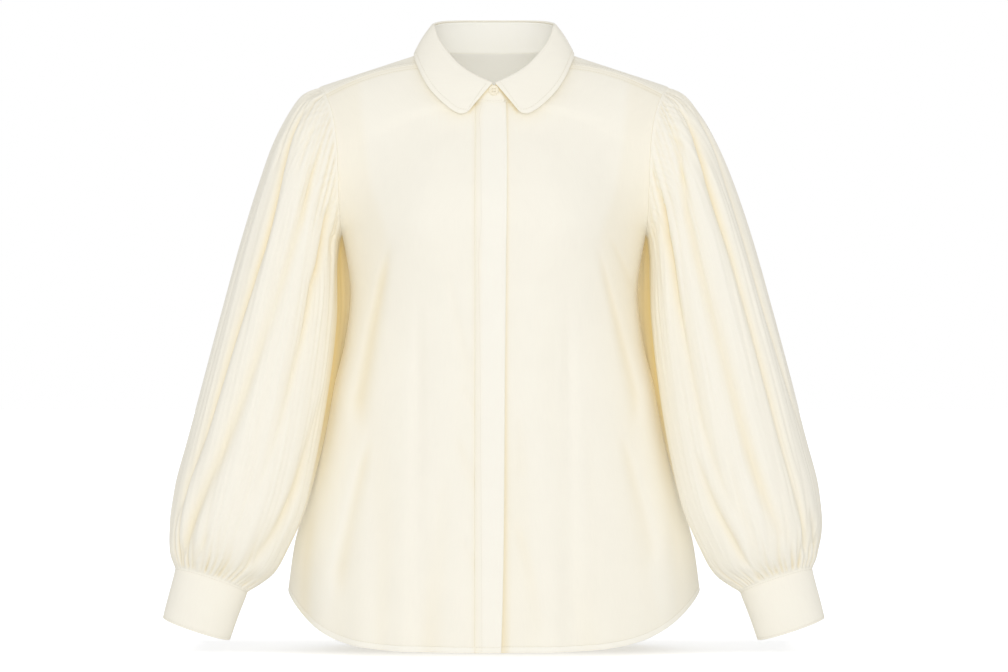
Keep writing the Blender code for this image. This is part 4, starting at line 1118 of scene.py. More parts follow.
def stitches(name, paths, material, length):
    """Rows of stitches: short spindles set end to end along paths of (points, ways).

    Each is three four-sided rings between two points, half sunk into the cloth.
    """
    starts, ends, ups = [], [], []
    for points, ways in paths:
        steps = np.linalg.norm(np.diff(points, axis=0), axis=1)
        along = np.concatenate([[0.0], np.cumsum(steps)])
        places = np.arange(1.0, along[-1] - length - 1.0, length + STITCH_GAP)

        def read(values, shift):
            return np.stack([np.interp(places + shift, along, line) for line in values.T], axis=1)

        starts.append(read(points, 0.0))
        ends.append(read(points, length))
        ups.append(unit(read(ways, length / 2)))
    start, end, up = (np.concatenate(parts) for parts in (starts, ends, ups))
    over = unit(np.cross(end - start, up))
    turns = np.arange(4) * np.pi / 2
    flat, upright = np.cos(turns)[:, None, None], 0.75 * np.sin(turns)[:, None, None]
    ring = (flat * over + upright * up) * STITCH_RADIUS
    sunk = up * STITCH_SINK
    rings = [start + (end - start) * t + ring * wide for t, wide in STITCH_RINGS]
    parts = np.concatenate([start[None] - sunk, *rings, end[None] - sunk]).transpose(1, 0, 2)
    low = [[0, 1 + (k + 1) % 4, 1 + k] for k in range(4)]
    walls = [[1 + 4 * n + k, 1 + 4 * n + (k + 1) % 4, 5 + 4 * n + (k + 1) % 4, 5 + 4 * n + k]
             for n in range(2) for k in range(4)]
    high = [[13, 9 + k, 9 + (k + 1) % 4] for k in range(4)]
    faces = [[corner + first for corner in face]
             for first in range(0, 14 * len(start), 14) for face in low + walls + high]
    piece = new_piece(name, parts, faces, material)
    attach(piece, "root")
    return piece


def furrow(distance, line, depth=FURROW_DEPTH):
    """Depth of the soft furrow that a line of stitches pulls into the cloth, a bell."""
    return depth * bell(distance - line, FURROW_WIDTH)


# ---------------------------------------------------------------- materials


def node(tree, kind, label="", **values):
    """A shader node with its settings and unlinked inputs set by name."""
    made = tree.nodes.new(kind)
    made.label = label
    for key, value in values.items():
        if key in made.inputs:
            made.inputs[key].default_value = value
        else:
            setattr(made, key, value)
    return made


def computed(tree, kind, operation, *given, output="Value"):
    """Result of a maths node over numbers and sockets, in the order of its inputs."""
    made = node(tree, kind, operation=operation)
    for number, value in enumerate(given):
        if isinstance(value, bpy.types.NodeSocket):
            tree.links.new(value, made.inputs[number])
        else:
            made.inputs[number].default_value = value
    return made.outputs[output]


def ranged(tree, value, given, wanted, label="", **settings):
    """A value moved from one range to another."""
    made = node(tree, "ShaderNodeMapRange", label, **settings)
    for socket, limit in zip(("From Min", "From Max", "To Min", "To Max"), (*given, *wanted)):
        made.inputs[socket].default_value = limit
    tree.links.new(value, made.inputs["Value"])
    return made.outputs["Result"]


def textured(tree, kind, place, label, output="Fac", **values):
    """A noise or wave texture read at a place."""
    made = node(tree, kind, label, **values)
    tree.links.new(place, made.inputs["Vector"])
    return made.outputs[output]


def multiplied(tree, colour, tone):
    """A colour, plain or from a socket, times a tone."""
    mix = node(tree, "ShaderNodeMix", data_type="RGBA", blend_type="MULTIPLY")
    mix.inputs[0].default_value = 1.0
    if isinstance(colour, bpy.types.NodeSocket):
        tree.links.new(colour, mix.inputs[6])
    else:
        mix.inputs[6].default_value = (*colour, 1.0)
    tree.links.new(tone, mix.inputs[7])
    return mix.outputs[2]


def emboss(tree, shader, height, strength, distance):
    """Gives the shader's surface the relief of a height."""
    relief = node(tree, "ShaderNodeBump", Strength=strength, Distance=distance)
    tree.links.new(height, relief.inputs["Height"])
    tree.links.new(relief.outputs["Normal"], shader.inputs["Normal"])


def set_inputs(shader, values):
    for socket, value in values.items():
        shader.inputs[socket].default_value = value


def crepe_weave():
    """Crepe weave: two crossing sets of fine threads, each bent by a little noise.

    Puts out the threads' height, a tone close to 1 with slubs and soft blotches, and a
    roughness that is lower on top of the threads.
    """
    name = "crepe weave"
    if name in bpy.data.node_groups:
        return bpy.data.node_groups[name]
    tree = bpy.data.node_groups.new(name, "ShaderNodeTree")
    tree.interface.new_socket("Surface", in_out="INPUT", socket_type="NodeSocketVector")
    spacing = tree.interface.new_socket("Spacing", in_out="INPUT", socket_type="NodeSocketFloat")
    spacing.default_value = 0.0006
    for output in ("Height", "Tone", "Roughness"):
        tree.interface.new_socket(output, in_out="OUTPUT", socket_type="NodeSocketFloat")
    link = tree.links.new
    given, result = tree.nodes.new("NodeGroupInput"), tree.nodes.new("NodeGroupOutput")
    surface, spacing = given.outputs["Surface"], given.outputs["Spacing"]
    crimp = textured(tree, NOISE, surface, "thread crimp", "Color", Scale=650.0, Detail=2.0)
    centred = computed(tree, VECTOR_MATH, "SUBTRACT", crimp, (0.5, 0.5, 0.5), output="Vector")
    bend = node(tree, VECTOR_MATH, operation="SCALE")
    link(centred, bend.inputs[0])
    link(spacing, bend.inputs["Scale"])
    moved = computed(tree, VECTOR_MATH, "ADD", surface, bend.outputs["Vector"], output="Vector")
    frequency = computed(tree, MATH, "DIVIDE", WAVE_RATE, spacing)
    threads = []
    for axis in ("X", "Y"):
        wave = node(tree, WAVE, "threads", bands_direction=axis)
        link(moved, wave.inputs["Vector"])
        link(frequency, wave.inputs["Scale"])
        threads.append(wave.outputs["Fac"])
    height = computed(tree, MATH, "MAXIMUM", *threads)
    stretch = node(tree, "ShaderNodeMapping", "slub direction")
    stretch.inputs["Scale"].default_value = (900.0, 45.0, 1.0)
    link(surface, stretch.inputs["Vector"])
    slubs = textured(tree, NOISE, stretch.outputs["Vector"], "slubs", Scale=1.0, Detail=1.0)
    blotches = textured(tree, NOISE, surface, "soft blotches", Scale=22.0, Detail=3.0)
    uneven = computed(tree, MATH, "ADD", slubs, blotches)
    link(height, result.inputs["Height"])
    link(ranged(tree, uneven, (0.6, 1.4), (0.982, 1.014)), result.inputs["Tone"])
    link(ranged(tree, height, (0.0, 1.0), (0.92, 0.76)), result.inputs["Roughness"])
    return tree


def new_material(name):
    material = bpy.data.materials.new(name)
    material.use_nodes = True
    return material, material.node_tree, material.node_tree.nodes["Principled BSDF"]


def cloth_material(name, settings, bump=0.22):
    """Cream crepe: its colour is painted warmer with the fold value, a painted shade; the
    weave sets its surface, and it glows a little, painted light that stands in for light
    coming through the cloth, more in the hollows."""
    if name in bpy.data.materials:
        return bpy.data.materials[name]
    material, tree, shader = new_material(name)
    link = tree.links.new
    place = node(tree, "ShaderNodeUVMap", uv_map="cloth")
    weave = node(tree, "ShaderNodeGroup", node_tree=crepe_weave())
    weave.inputs["Spacing"].default_value = settings.thread_spacing
    link(place.outputs["UV"], weave.inputs["Surface"])
    fold = node(tree, "ShaderNodeAttribute", "fold value", attribute_name="shade").outputs["Fac"]
    mix = node(tree, "ShaderNodeMix", data_type="RGBA", clamp_factor=False)
    mix.inputs[6].default_value = (*settings.cloth_colour, 1.0)
    mix.inputs[7].default_value = (*settings.fold_shade_colour, 1.0)
    link(fold, mix.inputs[0])
    colour = mix.outputs[2]
    # Painted glow: the emission that stands in for light through the cloth grows in the hollows.
    through = ranged(tree, fold, GLOW_FOLD_VALUES, (OPEN_GLOW_SHARE, 1.0),
                     "painted glow, stronger in the hollows")
    link(multiplied(tree, colour, weave.outputs["Tone"]), shader.inputs["Base Color"])
    link(weave.outputs["Roughness"], shader.inputs["Roughness"])
    link(multiplied(tree, colour, through), shader.inputs["Emission Color"])
    emboss(tree, shader, weave.outputs["Height"], bump, 0.0002)
    set_inputs(shader, {
        "Emission Strength": CLOTH_GLOW, "Specular IOR Level": 0.3, "Sheen Weight": 0.12,
        "Sheen Roughness": 0.45, "Sheen Tint": (1.0, 0.97, 0.9, 1.0)})
    return material


def thread_material(settings):
    """Sewing thread: fine twist along each stitch, a little glossier than the cloth."""
    name = "cream sewing thread"
    if name in bpy.data.materials:
        return bpy.data.materials[name]
    material, tree, shader = new_material(name)
    place = node(tree, "ShaderNodeTexCoord").outputs["Object"]
    twist = textured(tree, WAVE, place, "twist",
                     bands_direction="DIAGONAL", Scale=620.0, Distortion=0.6)
    tone = ranged(tree, twist, (0.0, 1.0), (0.93, 1.0))
    tree.links.new(multiplied(tree, settings.thread_colour, tone), shader.inputs["Base Color"])
    emboss(tree, shader, twist, 0.4, 0.0001)
    set_inputs(shader, {"Roughness": 0.55, "Sheen Weight": 0.2})
    return material


def button_material(settings):
    """Polished cream button: faint pearly clouds under a thin coat, with the cloth's faint painted
    glow.
    """
    name = "cream pearl button"
    if name in bpy.data.materials:
        return bpy.data.materials[name]
    material, tree, shader = new_material(name)
    link = tree.links.new
    place = node(tree, "ShaderNodeTexCoord").outputs["Object"]
    clouds = textured(tree, NOISE, place, "pearl clouds",
                      Scale=260.0, Detail=3.0, Distortion=1.2)
    tone = ranged(tree, clouds, (0.3, 0.7), (0.93, 1.03))
    colour = multiplied(tree, settings.button_colour, tone)
    link(colour, shader.inputs["Base Color"])
    link(ranged(tree, clouds, (0.3, 0.7), (0.24, 0.36)), shader.inputs["Roughness"])
    # Painted glow, the same as the cloth's in the open.
    link(colour, shader.inputs["Emission Color"])
    set_inputs(shader, {"Emission Strength": OPEN_GLOW_SHARE * CLOTH_GLOW,
                        "Coat Weight": 0.3, "Coat Roughness": 0.12})
    return material


def floor_material():
    """Plain white studio floor, which lights the cloth as any white floor does.

    Seen directly it takes another colour and glows a little, painted light, so that only a
    soft contact shadow shows on it. The glow is weaker close to the piece, which paints a
    shadow there: it rises with the larger of two smooth steps, one of the distance to either
    side of the piece's middle and one of that in front or behind.
    """
    material, tree, shader = new_material("white studio floor")
    link = tree.links.new
    place = node(tree, "ShaderNodeTexCoord").outputs["Object"]
    grain = textured(tree, NOISE, place, "floor grain", Scale=3.0, Detail=2.0)
    link(ranged(tree, grain, (0.0, 1.0), (0.8, 0.95)), shader.inputs["Roughness"])
    seen = node(tree, "ShaderNodeLightPath").outputs["Is Camera Ray"]
    mix = node(tree, "ShaderNodeMix", data_type="RGBA")
    mix.inputs[6].default_value = (*FLOOR_LIGHTING, 1.0)
    mix.inputs[7].default_value = (*FLOOR_SEEN, 1.0)
    link(seen, mix.inputs[0])
    link(mix.outputs[2], shader.inputs["Base Color"])
    axes = node(tree, "ShaderNodeSeparateXYZ")
    link(place, axes.inputs["Vector"])
    shares = []
    for axis, middle, near, far in FLOOR_SPREAD:
        off = computed(tree, MATH, "SUBTRACT", axes.outputs[axis], middle)
        away = computed(tree, MATH, "ABSOLUTE", off)
        shares.append(ranged(tree, away, (near, far), (0.0, 1.0), interpolation_type="SMOOTHSTEP"))
    further = computed(tree, MATH, "MAXIMUM", *shares)
    level = ranged(tree, further, (0.0, 1.0), FLOOR_GLOW, "brighter away from the piece")
    glow = computed(tree, MATH, "MULTIPLY", seen, level)
    link(glow, shader.inputs["Emission Strength"])
    set_inputs(shader, {"Emission Color": (1.0, 1.0, 1.0, 1.0)})
    return material


# ---------------------------------------------------------------- painted shade and light


def beside_sleeve_light(across_distance, z):
    """Painted light on the body beside a sleeve, paler cloth: a bell of the distance that is wider
    at the bust.
    """
    high = ease((-140.0 - z) / 55.0) * ease((z + 520.0) / 230.0)
    return ARMHOLE_TONE * high * bell(across_distance, 10.0 + 12.0 * bell(z + 190.0, 45.0))


def turned_shade(x, z):
    """Painted shade on the front's side beyond the line where it turns back from the bust; below
    the waist it turns to painted light.
    """
    line = smooth(column(SIDE_LINE, 0), column(SIDE_LINE, 1), -z)
    bust, waist = SIDE_TONE
    tone = bust + (waist - bust) * ease((-260.0 - z) / 140.0)
    return tone * ease((x - line) / 14.0) * ease((690.0 + z) / 90.0)


def edge_shade(x, z):
    """Painted soft shadow on the front beside the placket's free edge, wider towards the hem,
    with a keener painted line of shade right at the edge."""
    low = ease((-330.0 - z) / 160.0)
    fading = np.exp(-np.maximum(x - COVER_EDGE + 3.0, 0) / (2.0 + 5.0 * low))
    return (0.04 + 0.14 * low) * fading + EDGE_LINE * bell(np.maximum(x - COVER_EDGE, 0), 2.4)


def seam_shade(x):
    """Painted soft shade along the placket's sewn edge, on both sides of its seam."""
    return PLACKET_HOLLOW * bell(x + PLACKET_SEAM - 2.0, 4.2)


def collar_shade(points):
    """Painted warm shadow close to the front edges of the collar's leaf, deeper beside the edge
    on the wearer's left: a bell of the level distance from those edges, front to back left out."""
    down = np.linspace(0.1, 1.0, 40)
    shade = 0.0
    for end, most in enumerate(LEAF_END_TONES):
        edge = leaf_surface(down, end + 0.0 * down)[:, (0, 2)]
        away = points[..., None, :][..., (0, 2)] - edge
        shade = shade + most * bell(np.sqrt((away**2).sum(axis=-1)).min(axis=-1), 2.2)
    return shade


def crease_shade(depth, most, full):
    """Painted warm shade inside a fold: the power 1.5 of its share of the full depth."""
    return most * np.clip(depth / full, 0, 1.2) ** 1.5


# ---------------------------------------------------------------- pieces


def lean_to_armhole(points, ways, distance):
    """Turns the thickness near an armhole to point away from the armhole's middle, so that
    the body's rim and the sleeve's meet. The weight is a bell of the distance."""
    radial = points - stack(points[..., 0], ARMHOLE_CENTRE_Y, ARMHOLE_CENTRE_Z)
    weight = bell(distance, 0.9)[..., None]
    return unit(ways * (1 - weight) + unit(radial) * weight)


def finish(solid, settings, sewn=None, paths=()):
    """Sews stitches of the name sewn along the paths, and hides the solid that a piece of
    cloth stands for."""
    if sewn:
        length = settings.stitch_length / MM
        stitches(sewn, paths, thread_material(settings), length)
    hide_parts(solid)


def make_strip(name, left_x, right_x, step, columns, thickness, material):
    """A strip of the placket and its grid."""
    def surface(u, v):
        return strip_surface(left_x, right_x, step, u, v)
    rows = (edge_steps((HEM_STITCH,)), edge_steps(), STRIP_GRID[0])
    base = surface(*laid_out(surface, rows, columns, STRIP_FINE))
    ways = grid_ways(base, False, INSIDE_BODY)
    depth = furrow(from_edges(base, False)[0], HEM_STITCH)
    # Painted light on the placket, and painted shade by the collar's leaf and along the sewn edge.
    shade = PLACKET_TONE + collar_shade(base) + seam_shade(base[..., 0])
    piece = cloth_piece(name, base, ways, depth, thickness, material, shade=shade)
    return piece, base, ways


class MakePlacket(bpy.types.Operator):
    """Build the covered placket, the button band beneath it and their stitches"""

    bl_idname = "blouse.make_placket"
    bl_label = "Placket"

    def execute(self, context):
        settings = context.scene.blouse
        cloth = cloth_material("cream crepe, placket", settings)
        thick = settings.cloth_thickness / MM
        columns = (edge_steps((COVER_STITCH,)), edge_steps(), STRIP_GRID[1])
        cover, base, ways = make_strip("placket_cover_cloth", -PLACKET_SEAM, COVER_EDGE, 0.0,
                                       columns, thick, cloth)
        columns = (edge_steps(), edge_steps(), STRIP_GRID[1])
        band, _, _ = make_strip("button_band_cloth", -BAND_EDGE, BAND_SEAM, TUCK,
                                columns, thick, cloth)
        paths = [line_on(base, ways, slice(3, -3), LINE), line_on(base, ways, LINE, slice(1, -1))]
        finish("placket_cover", settings,
               "placket_stitches", paths)
        finish("button_band", settings)
        return {"FINISHED"}


class MakeFronts(bpy.types.Operator):
    """Build the two front panels with their folds and hem stitches"""

    bl_idname = "blouse.make_fronts"
    bl_label = "Fronts"

    def execute(self, context):
        settings = context.scene.blouse
        cloth = cloth_material("cream crepe, fronts", settings)
        for side in (RIGHT, LEFT):
            self.make_front(side, settings, cloth)
        return {"FINISHED"}

    def make_front(self, side, settings, cloth):
        word = SIDE_WORDS[side]
        rows = (edge_steps((HEM_STITCH,)), edge_steps((YOKE_STITCH,)), FRONT_GRID[0])
        columns = (edge_steps(), edge_steps(), FRONT_GRID[1])
        u, v = laid_out(lambda a, b: front_surface(side, a, b, plain=True), rows, columns)
        plain = front_surface(side, u, v, plain=True)
        base = front_surface(side, u, v)
        hem, top, _, last = from_edges(plain, False)
        beside_armhole = np.where(u * FRONT_TOP >= UNDERARM_LEVEL, last, FAR_AWAY)
        ways = lean_to_armhole(plain, grid_ways(plain, False, INSIDE_BODY), beside_armhole)
        pressed = np.maximum((base - plain)[..., 1], 0)
        x, z = base[..., 0], base[..., 2]
        # The fold value: painted shade in the folds, on the side at the bust, beside the placket's
        # edges, by the collar and along the yoke seam; painted light beside the sleeve, on the
        # side below the waist and on the hem.
        shade = crease_shade(pressed, *FRONT_CREASES) + beside_sleeve_light(last, z) + turned_shade(x, z)
        shade = shade + (edge_shade(x, z) if side == LEFT else 0.0)
        shade = shade + HEM_TONE * ease((HEM_STITCH + 0.2 - hem) / 0.8)
        base, ways = mirrored(base, side), mirrored(ways, side)
        shade = shade + collar_shade(base) + seam_shade(base[..., 0])
        yoke_seam_mask = np.exp(-((top - YOKE_STITCH) ** 2) / 0.7) + np.exp(-(top**2) / 1.5)
        shade = shade + SEAM_TONE * yoke_seam_mask
        depth = furrow(hem, HEM_STITCH) + furrow(top, YOKE_STITCH)
        piece = cloth_piece(f"front_{word}_cloth", base, ways, depth,
                            settings.cloth_thickness / MM, cloth, shade=shade)
        paths = [line_on(base, ways, row, slice(1, -1)) for row in (LINE, END_LINE)]
        finish(f"front_{word}", settings,
               f"front_{word}_stitches", paths)


class MakeBack(bpy.types.Operator):
    """Build the back panel with its folds and hem stitches"""

    bl_idname = "blouse.make_back"
    bl_label = "Back"

    def execute(self, context):
        settings = context.scene.blouse
        rows = (edge_steps((HEM_STITCH,)), edge_steps(), BACK_GRID[0])
        columns = (edge_steps(), edge_steps(), BACK_GRID[1])
        u, v = laid_out(lambda a, b: back_surface(a, b, plain=True), rows, columns)
        plain, base = back_surface(u, v, plain=True), back_surface(u, v)
        hem, _, first, last = from_edges(plain, False)
        aside = np.minimum(first, last)
        beside_armhole = np.where(u * BACK_TOP >= UNDERARM_LEVEL, aside, FAR_AWAY)
        ways = lean_to_armhole(plain, grid_ways(plain, False, INSIDE_BODY), beside_armhole)
        pressed = np.maximum((plain - base)[..., 1], 0)
        # Painted shade in its folds, and painted light beside the sleeves.
        shade = crease_shade(pressed, *BACK_CREASES) + beside_sleeve_light(aside, base[..., 2])
        piece = cloth_piece("back_cloth", base, ways, furrow(hem, HEM_STITCH),
                            settings.cloth_thickness / MM,
                            cloth_material("cream crepe, back", settings),
                            shade=np.clip(shade, 0, 1))
        finish("back", settings,
               "back_hem_stitches", [line_on(base, ways, LINE, slice(1, -1))])
        return {"FINISHED"}


class MakeYoke(bpy.types.Operator):
    """Build the yoke with double stitching beside its front and back seams"""

    bl_idname = "blouse.make_yoke"
    bl_label = "Yoke"

    def execute(self, context):
        settings = context.scene.blouse
        rows = (edge_steps(), edge_steps(YOKE_STITCHES), YOKE_GRID[0])
        columns = (edge_steps(YOKE_STITCHES), edge_steps(YOKE_STITCHES), YOKE_GRID[1])
        u, v = laid_out(yoke_surface, rows, columns, YOKE_FINE)
        base = yoke_surface(u, v)
        _, outer, first, last = from_edges(base, False)
        place = yoke_place(v)
        at_armhole = np.where(place < YOKE_CORNER + 0.05, outer, FAR_AWAY)
        ways = lean_to_armhole(base, grid_ways(base, False, INSIDE_BODY), at_armhole)
        behind = ease((place - YOKE_CORNER - 0.1) / 0.1)
        depth = sum(furrow(first, line) + furrow(last, line) + behind * furrow(outer, line)
                    for line in YOKE_STITCHES)
        # Painted light on its inner face: paler, cooler cloth.
        piece = cloth_piece("yoke_cloth", base, ways, depth, settings.cloth_thickness / MM,
                            cloth_material("cream crepe, yoke", settings), inside=YOKE_INNER_LIGHT)
        paths = []
        for index in (LINE, SECOND_LINE):
            for col in (index, -1 - index):
                paths.append(line_on(base, ways, slice(2, -4), col))
            row = -1 - index
            back = np.flatnonzero(place[row] > YOKE_CORNER + 0.12)
            paths.append(line_on(base, ways, row, back))
        finish("yoke", settings,
               "yoke_stitches", paths)
        return {"FINISHED"}


class MakeSleeves(bpy.types.Operator):
    """Build the two balloon sleeves, gathered at the armhole and at the cuff"""

    bl_idname = "blouse.make_sleeves"
    bl_label = "Sleeves"

    def execute(self, context):
        settings = context.scene.blouse
        cloth = cloth_material("cream crepe, sleeves", settings)
        for side in (RIGHT, LEFT):
            self.make_sleeve(side, settings, cloth)
        return {"FINISHED"}

    def make_sleeve(self, side, settings, cloth):
        word = SIDE_WORDS[side]
        close, wider = np.arange(1.6, 28.0, 1.4), np.arange(29.0, 60.0, 2.2)
        rows = (np.concatenate([edge_steps(), close, wider]), edge_steps(), SLEEVE_GRID[0])
        u, v = ring_laid_out(lambda a, b: sleeve_surface(side, a, b), rows, SLEEVE_GRID[1])
        base = sleeve_surface(side, u, v)
        level, angle = u * SLEEVE_TOP, 360.0 * v
        from_top, from_cuff = from_edges(base, True)[:2]
        ways = lean_to_armhole(base, grid_ways(base, True, base.mean(axis=(0, 1))), from_top)
        long, fine = gathered_depth(side, level, angle, from_top, from_cuff)
        # Painted shade: warm in the folds, and deeper on the side that faces the body.
        creases = crease_shade(long, *LONG_CREASES) + crease_shade(fine, *FINE_CREASES)
        hidden = HIDDEN_TONE * facing_body(level, angle)
        shade = np.minimum(np.clip(creases, 0, 1) + hidden, DEEPEST_TONE)
        base, ways = mirrored(base, side), mirrored(ways, side)
        depth = (long + fine) * settings.fold_depth - swell(level, angle)
        piece = cloth_piece(f"sleeve_{word}_cloth", base, ways, depth,
                            settings.cloth_thickness / MM, cloth, closed=True, shade=shade,
                            every=3)
        finish(f"sleeve_{word}", settings)


class MakeCuffs(bpy.types.Operator):
    """Build the two cuffs with stitching along both edges"""

    bl_idname = "blouse.make_cuffs"
    bl_label = "Cuffs"

    def execute(self, context):
        settings = context.scene.blouse
        cloth = cloth_material("cream crepe, cuffs", settings)
        for side in (RIGHT, LEFT):
            self.make_cuff(side, settings, cloth)
        return {"FINISHED"}

    def make_cuff(self, side, settings, cloth):
        word = SIDE_WORDS[side]
        line = edge_steps((CUFF_STITCH,))

        def surface(u, v):
            return cuff_surface(side, u * (1 + CUFF_OVERLAP) - CUFF_OVERLAP, v)

        u, v = ring_laid_out(surface, (line, line, CUFF_GRID[0]), CUFF_GRID[1])
        base = surface(u, v)
        from_top, from_edge = from_edges(base, True)[:2]
        ways = grid_ways(base, True, base.mean(axis=(0, 1)))
        depth = furrow(from_top, CUFF_STITCH) + furrow(from_edge, CUFF_STITCH)
        soft = waves(70, v, u, 5, (3, 7), (0.2, 1.0), 0.25)
        depth = depth + soft * ease(from_top / 8) * ease(from_edge / 8)
        base, ways = mirrored(base, side), mirrored(ways, side)
        piece = cloth_piece(f"cuff_{word}_cloth", base, ways, depth, settings.cloth_thickness / MM,
                            cloth, closed=True)
        paths = [line_on(base, ways, row, slice(None)) for row in (LINE, END_LINE)]
        finish(f"cuff_{word}", settings,
               f"cuff_{word}_stitches", paths)


class MakeCollar(bpy.types.Operator):
    """Build the collar stand and the collar leaf that folds over it"""

    bl_idname = "blouse.make_collar"
    bl_label = "Collar"

    def execute(self, context):
        settings = context.scene.blouse
        cloth = cloth_material("cream crepe, collar", settings, bump=0.15)
        self.make_stand(settings, cloth)
        self.make_leaf(settings, cloth)
        return {"FINISHED"}

    def make_stand(self, settings, cloth):
        bottom_line, top_line, tab_line = STAND_STITCHES

        def surface(u, v):
            return stand_surface(u * (1 + STAND_OVERLAP) - STAND_OVERLAP, v)

        rows = (edge_steps((bottom_line,)), edge_steps((top_line,)), STAND_GRID[0])
        columns = (edge_steps((tab_line,)), edge_steps(), STAND_GRID[1])
        base = surface(*laid_out(surface, rows, columns, STAND_FINE))
        bottom, top, _, _ = from_edges(base, False)
        ways = grid_ways(base, False, INSIDE_NECK)
        depth = furrow(bottom, bottom_line, STAND_FURROW) + furrow(top, top_line, STAND_FURROW)
        # Painted shade beside the leaf's front edges, and painted light on its inner face.
        piece = cloth_piece("collar_stand_cloth", base, ways, depth, settings.cloth_thickness / MM,
                            cloth, shade=collar_shade(base), inside=STAND_INNER_LIGHT)
        inner = slice(LINE, -LINE)
        tab = slice(LINE, TAB_COLUMNS)
        paths = [line_on(base, ways, LINE, inner), line_on(base, ways, END_LINE, tab),
                 line_on(base, ways, inner, LINE)]
        finish("collar_stand", settings,
               "collar_stand_stitches", paths)

    def make_leaf(self, settings, cloth):
        line = edge_steps((LEAF_STITCH,))
        rows, columns = (edge_steps(), line, LEAF_GRID[0]), (line, line, LEAF_GRID[1])
        base = leaf_surface(*laid_out(leaf_surface, rows, columns, LEAF_FINE))
        _, edge, left, right = from_edges(base, False)
        ways = grid_ways(base, False, BELOW_NECK)
        rim = np.minimum(edge, np.minimum(left, right))
        piece = cloth_piece("collar_cloth", base, ways, furrow(rim, LEAF_STITCH),
                            settings.collar_thickness / MM, cloth)
        ends = slice(8, -7)
        paths = [line_on(base, ways, END_LINE, slice(LINE, -LINE)),
                 line_on(base, ways, ends, LINE), line_on(base, ways, ends, END_LINE)]
        finish("collar", settings,
               "collar_stitches", paths)


def button_profile(radius, thick):
    """Radii and heights from the middle of the back, round the edge, to the front's middle;
    the last value is the number of the front's first point."""
    back = [(r, 0.0) for r in (BUTTON_POLE, 0.5 * radius, 0.9 * radius)]
    turns = [math.radians(turn) for turn in np.linspace(-90, 90, 11)]
    edge = [(radius - BUTTON_ROUND + BUTTON_ROUND * math.cos(turn),
             0.5 * thick + 0.5 * thick * math.sin(turn)) for turn in turns]
    front = [(r, thick) for r in np.linspace(radius - BUTTON_RIM, BUTTON_POLE, 40)]
    return np.array(back + edge + front), len(back) + len(edge)


class MakeButtons(bpy.types.Operator):
    """Build the neck button with its thread and finish the hidden buttons"""

    bl_idname = "blouse.make_buttons"
    bl_label = "Buttons"

    def execute(self, context):
        settings = context.scene.blouse
        pearl = button_material(settings)
        low, high = neckline(0.0), fold_line(0.0)
        outward = unit(np.array([0.0, low[2] - high[2], high[1] - low[1]]))
        share = (NECK_BUTTON_HEIGHT - low[2]) / (high[2] - low[2])
        centre = low + (high - low) * share + outward * 0.3
        across = unit(np.cross(outward, (0.0, 0.0, 1.0)))
        up = np.cross(across, outward)
        self.make_shell(settings, pearl, centre, across, up, outward)
        self.sew_on(settings, centre + outward * (NECK_BUTTON_THICK - 0.6), across, up, outward)
        for name in HIDDEN_BUTTONS:
            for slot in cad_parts[name].material_slots:
                slot.material = pearl
        return {"FINISHED"}

    def make_shell(self, settings, pearl, centre, across, up, outward):
        """The profile turned about the button's axis, its front sunk by a smooth step into
        a dish and by four more into the holes."""
        radius = settings.button_radius / MM
        profile, first = button_profile(radius, NECK_BUTTON_THICK)
        turns = np.arange(BUTTON_SIDES) * 2 * np.pi / BUTTON_SIDES
        x = profile[:, :1] * np.cos(turns)
        y = profile[:, :1] * np.sin(turns)
        on_front = (np.arange(len(profile)) >= first)[:, None]
        dish = 0.55 * ease((radius - 1.3 - profile[:, :1]) / 1.1)
        height = profile[:, 1:] - on_front * dish
        for hole_x in (-HOLE_PLACE, HOLE_PLACE):
            for hole_y in (-HOLE_PLACE, HOLE_PLACE):
                far = np.hypot(x - hole_x, y - hole_y)
                height = height - on_front * 1.7 * (1 - ease((far - 0.5) / 0.35))
        points = centre + x[..., None] * across + y[..., None] * up + height[..., None] * outward
        faces = quads(len(profile), BUTTON_SIDES, True).tolist()
        total = len(profile) * BUTTON_SIDES
        faces += [list(range(BUTTON_SIDES)), list(range(total - BUTTON_SIDES, total))[::-1]]
        button = new_piece("neck_button_shell", points, faces, pearl)
        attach(button, "root")
        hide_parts("neck_button")

    def sew_on(self, settings, middle, across, up, outward):
        """Four strands of thread, two between each pair of holes, arched over the dish:
        six-sided tubes along arches of 0.45 - 1.1 t**4."""
        t = np.linspace(-1, 1, 9)
        turns = np.arange(6) * np.pi / 3
        ring = 0.26 * (np.cos(turns)[:, None] * up + np.sin(turns)[:, None] * outward)
        caps = np.arange(6), np.arange(6 * len(t) - 6, 6 * len(t))[::-1]
        one = quads(len(t), 6, True).tolist() + [cap.tolist() for cap in caps]
        points, faces = [], []
        for y in (-HOLE_PLACE, HOLE_PLACE):
            for shift in (-0.24, 0.24):
                line = middle + (t * HOLE_PLACE)[:, None] * across
                line = line + (y + shift * (1 - t**2))[:, None] * up
                line = line + (0.45 - 1.1 * np.abs(t) ** 4)[:, None] * outward
                start = 6 * len(t) * len(points)
                points.append(line[:, None] + ring)
                faces += [[corner + start for corner in face] for face in one]
        thread = new_piece("neck_button_thread", np.concatenate(points), faces,
                           thread_material(settings))
        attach(thread, "root")


# ---------------------------------------------------------------- stage


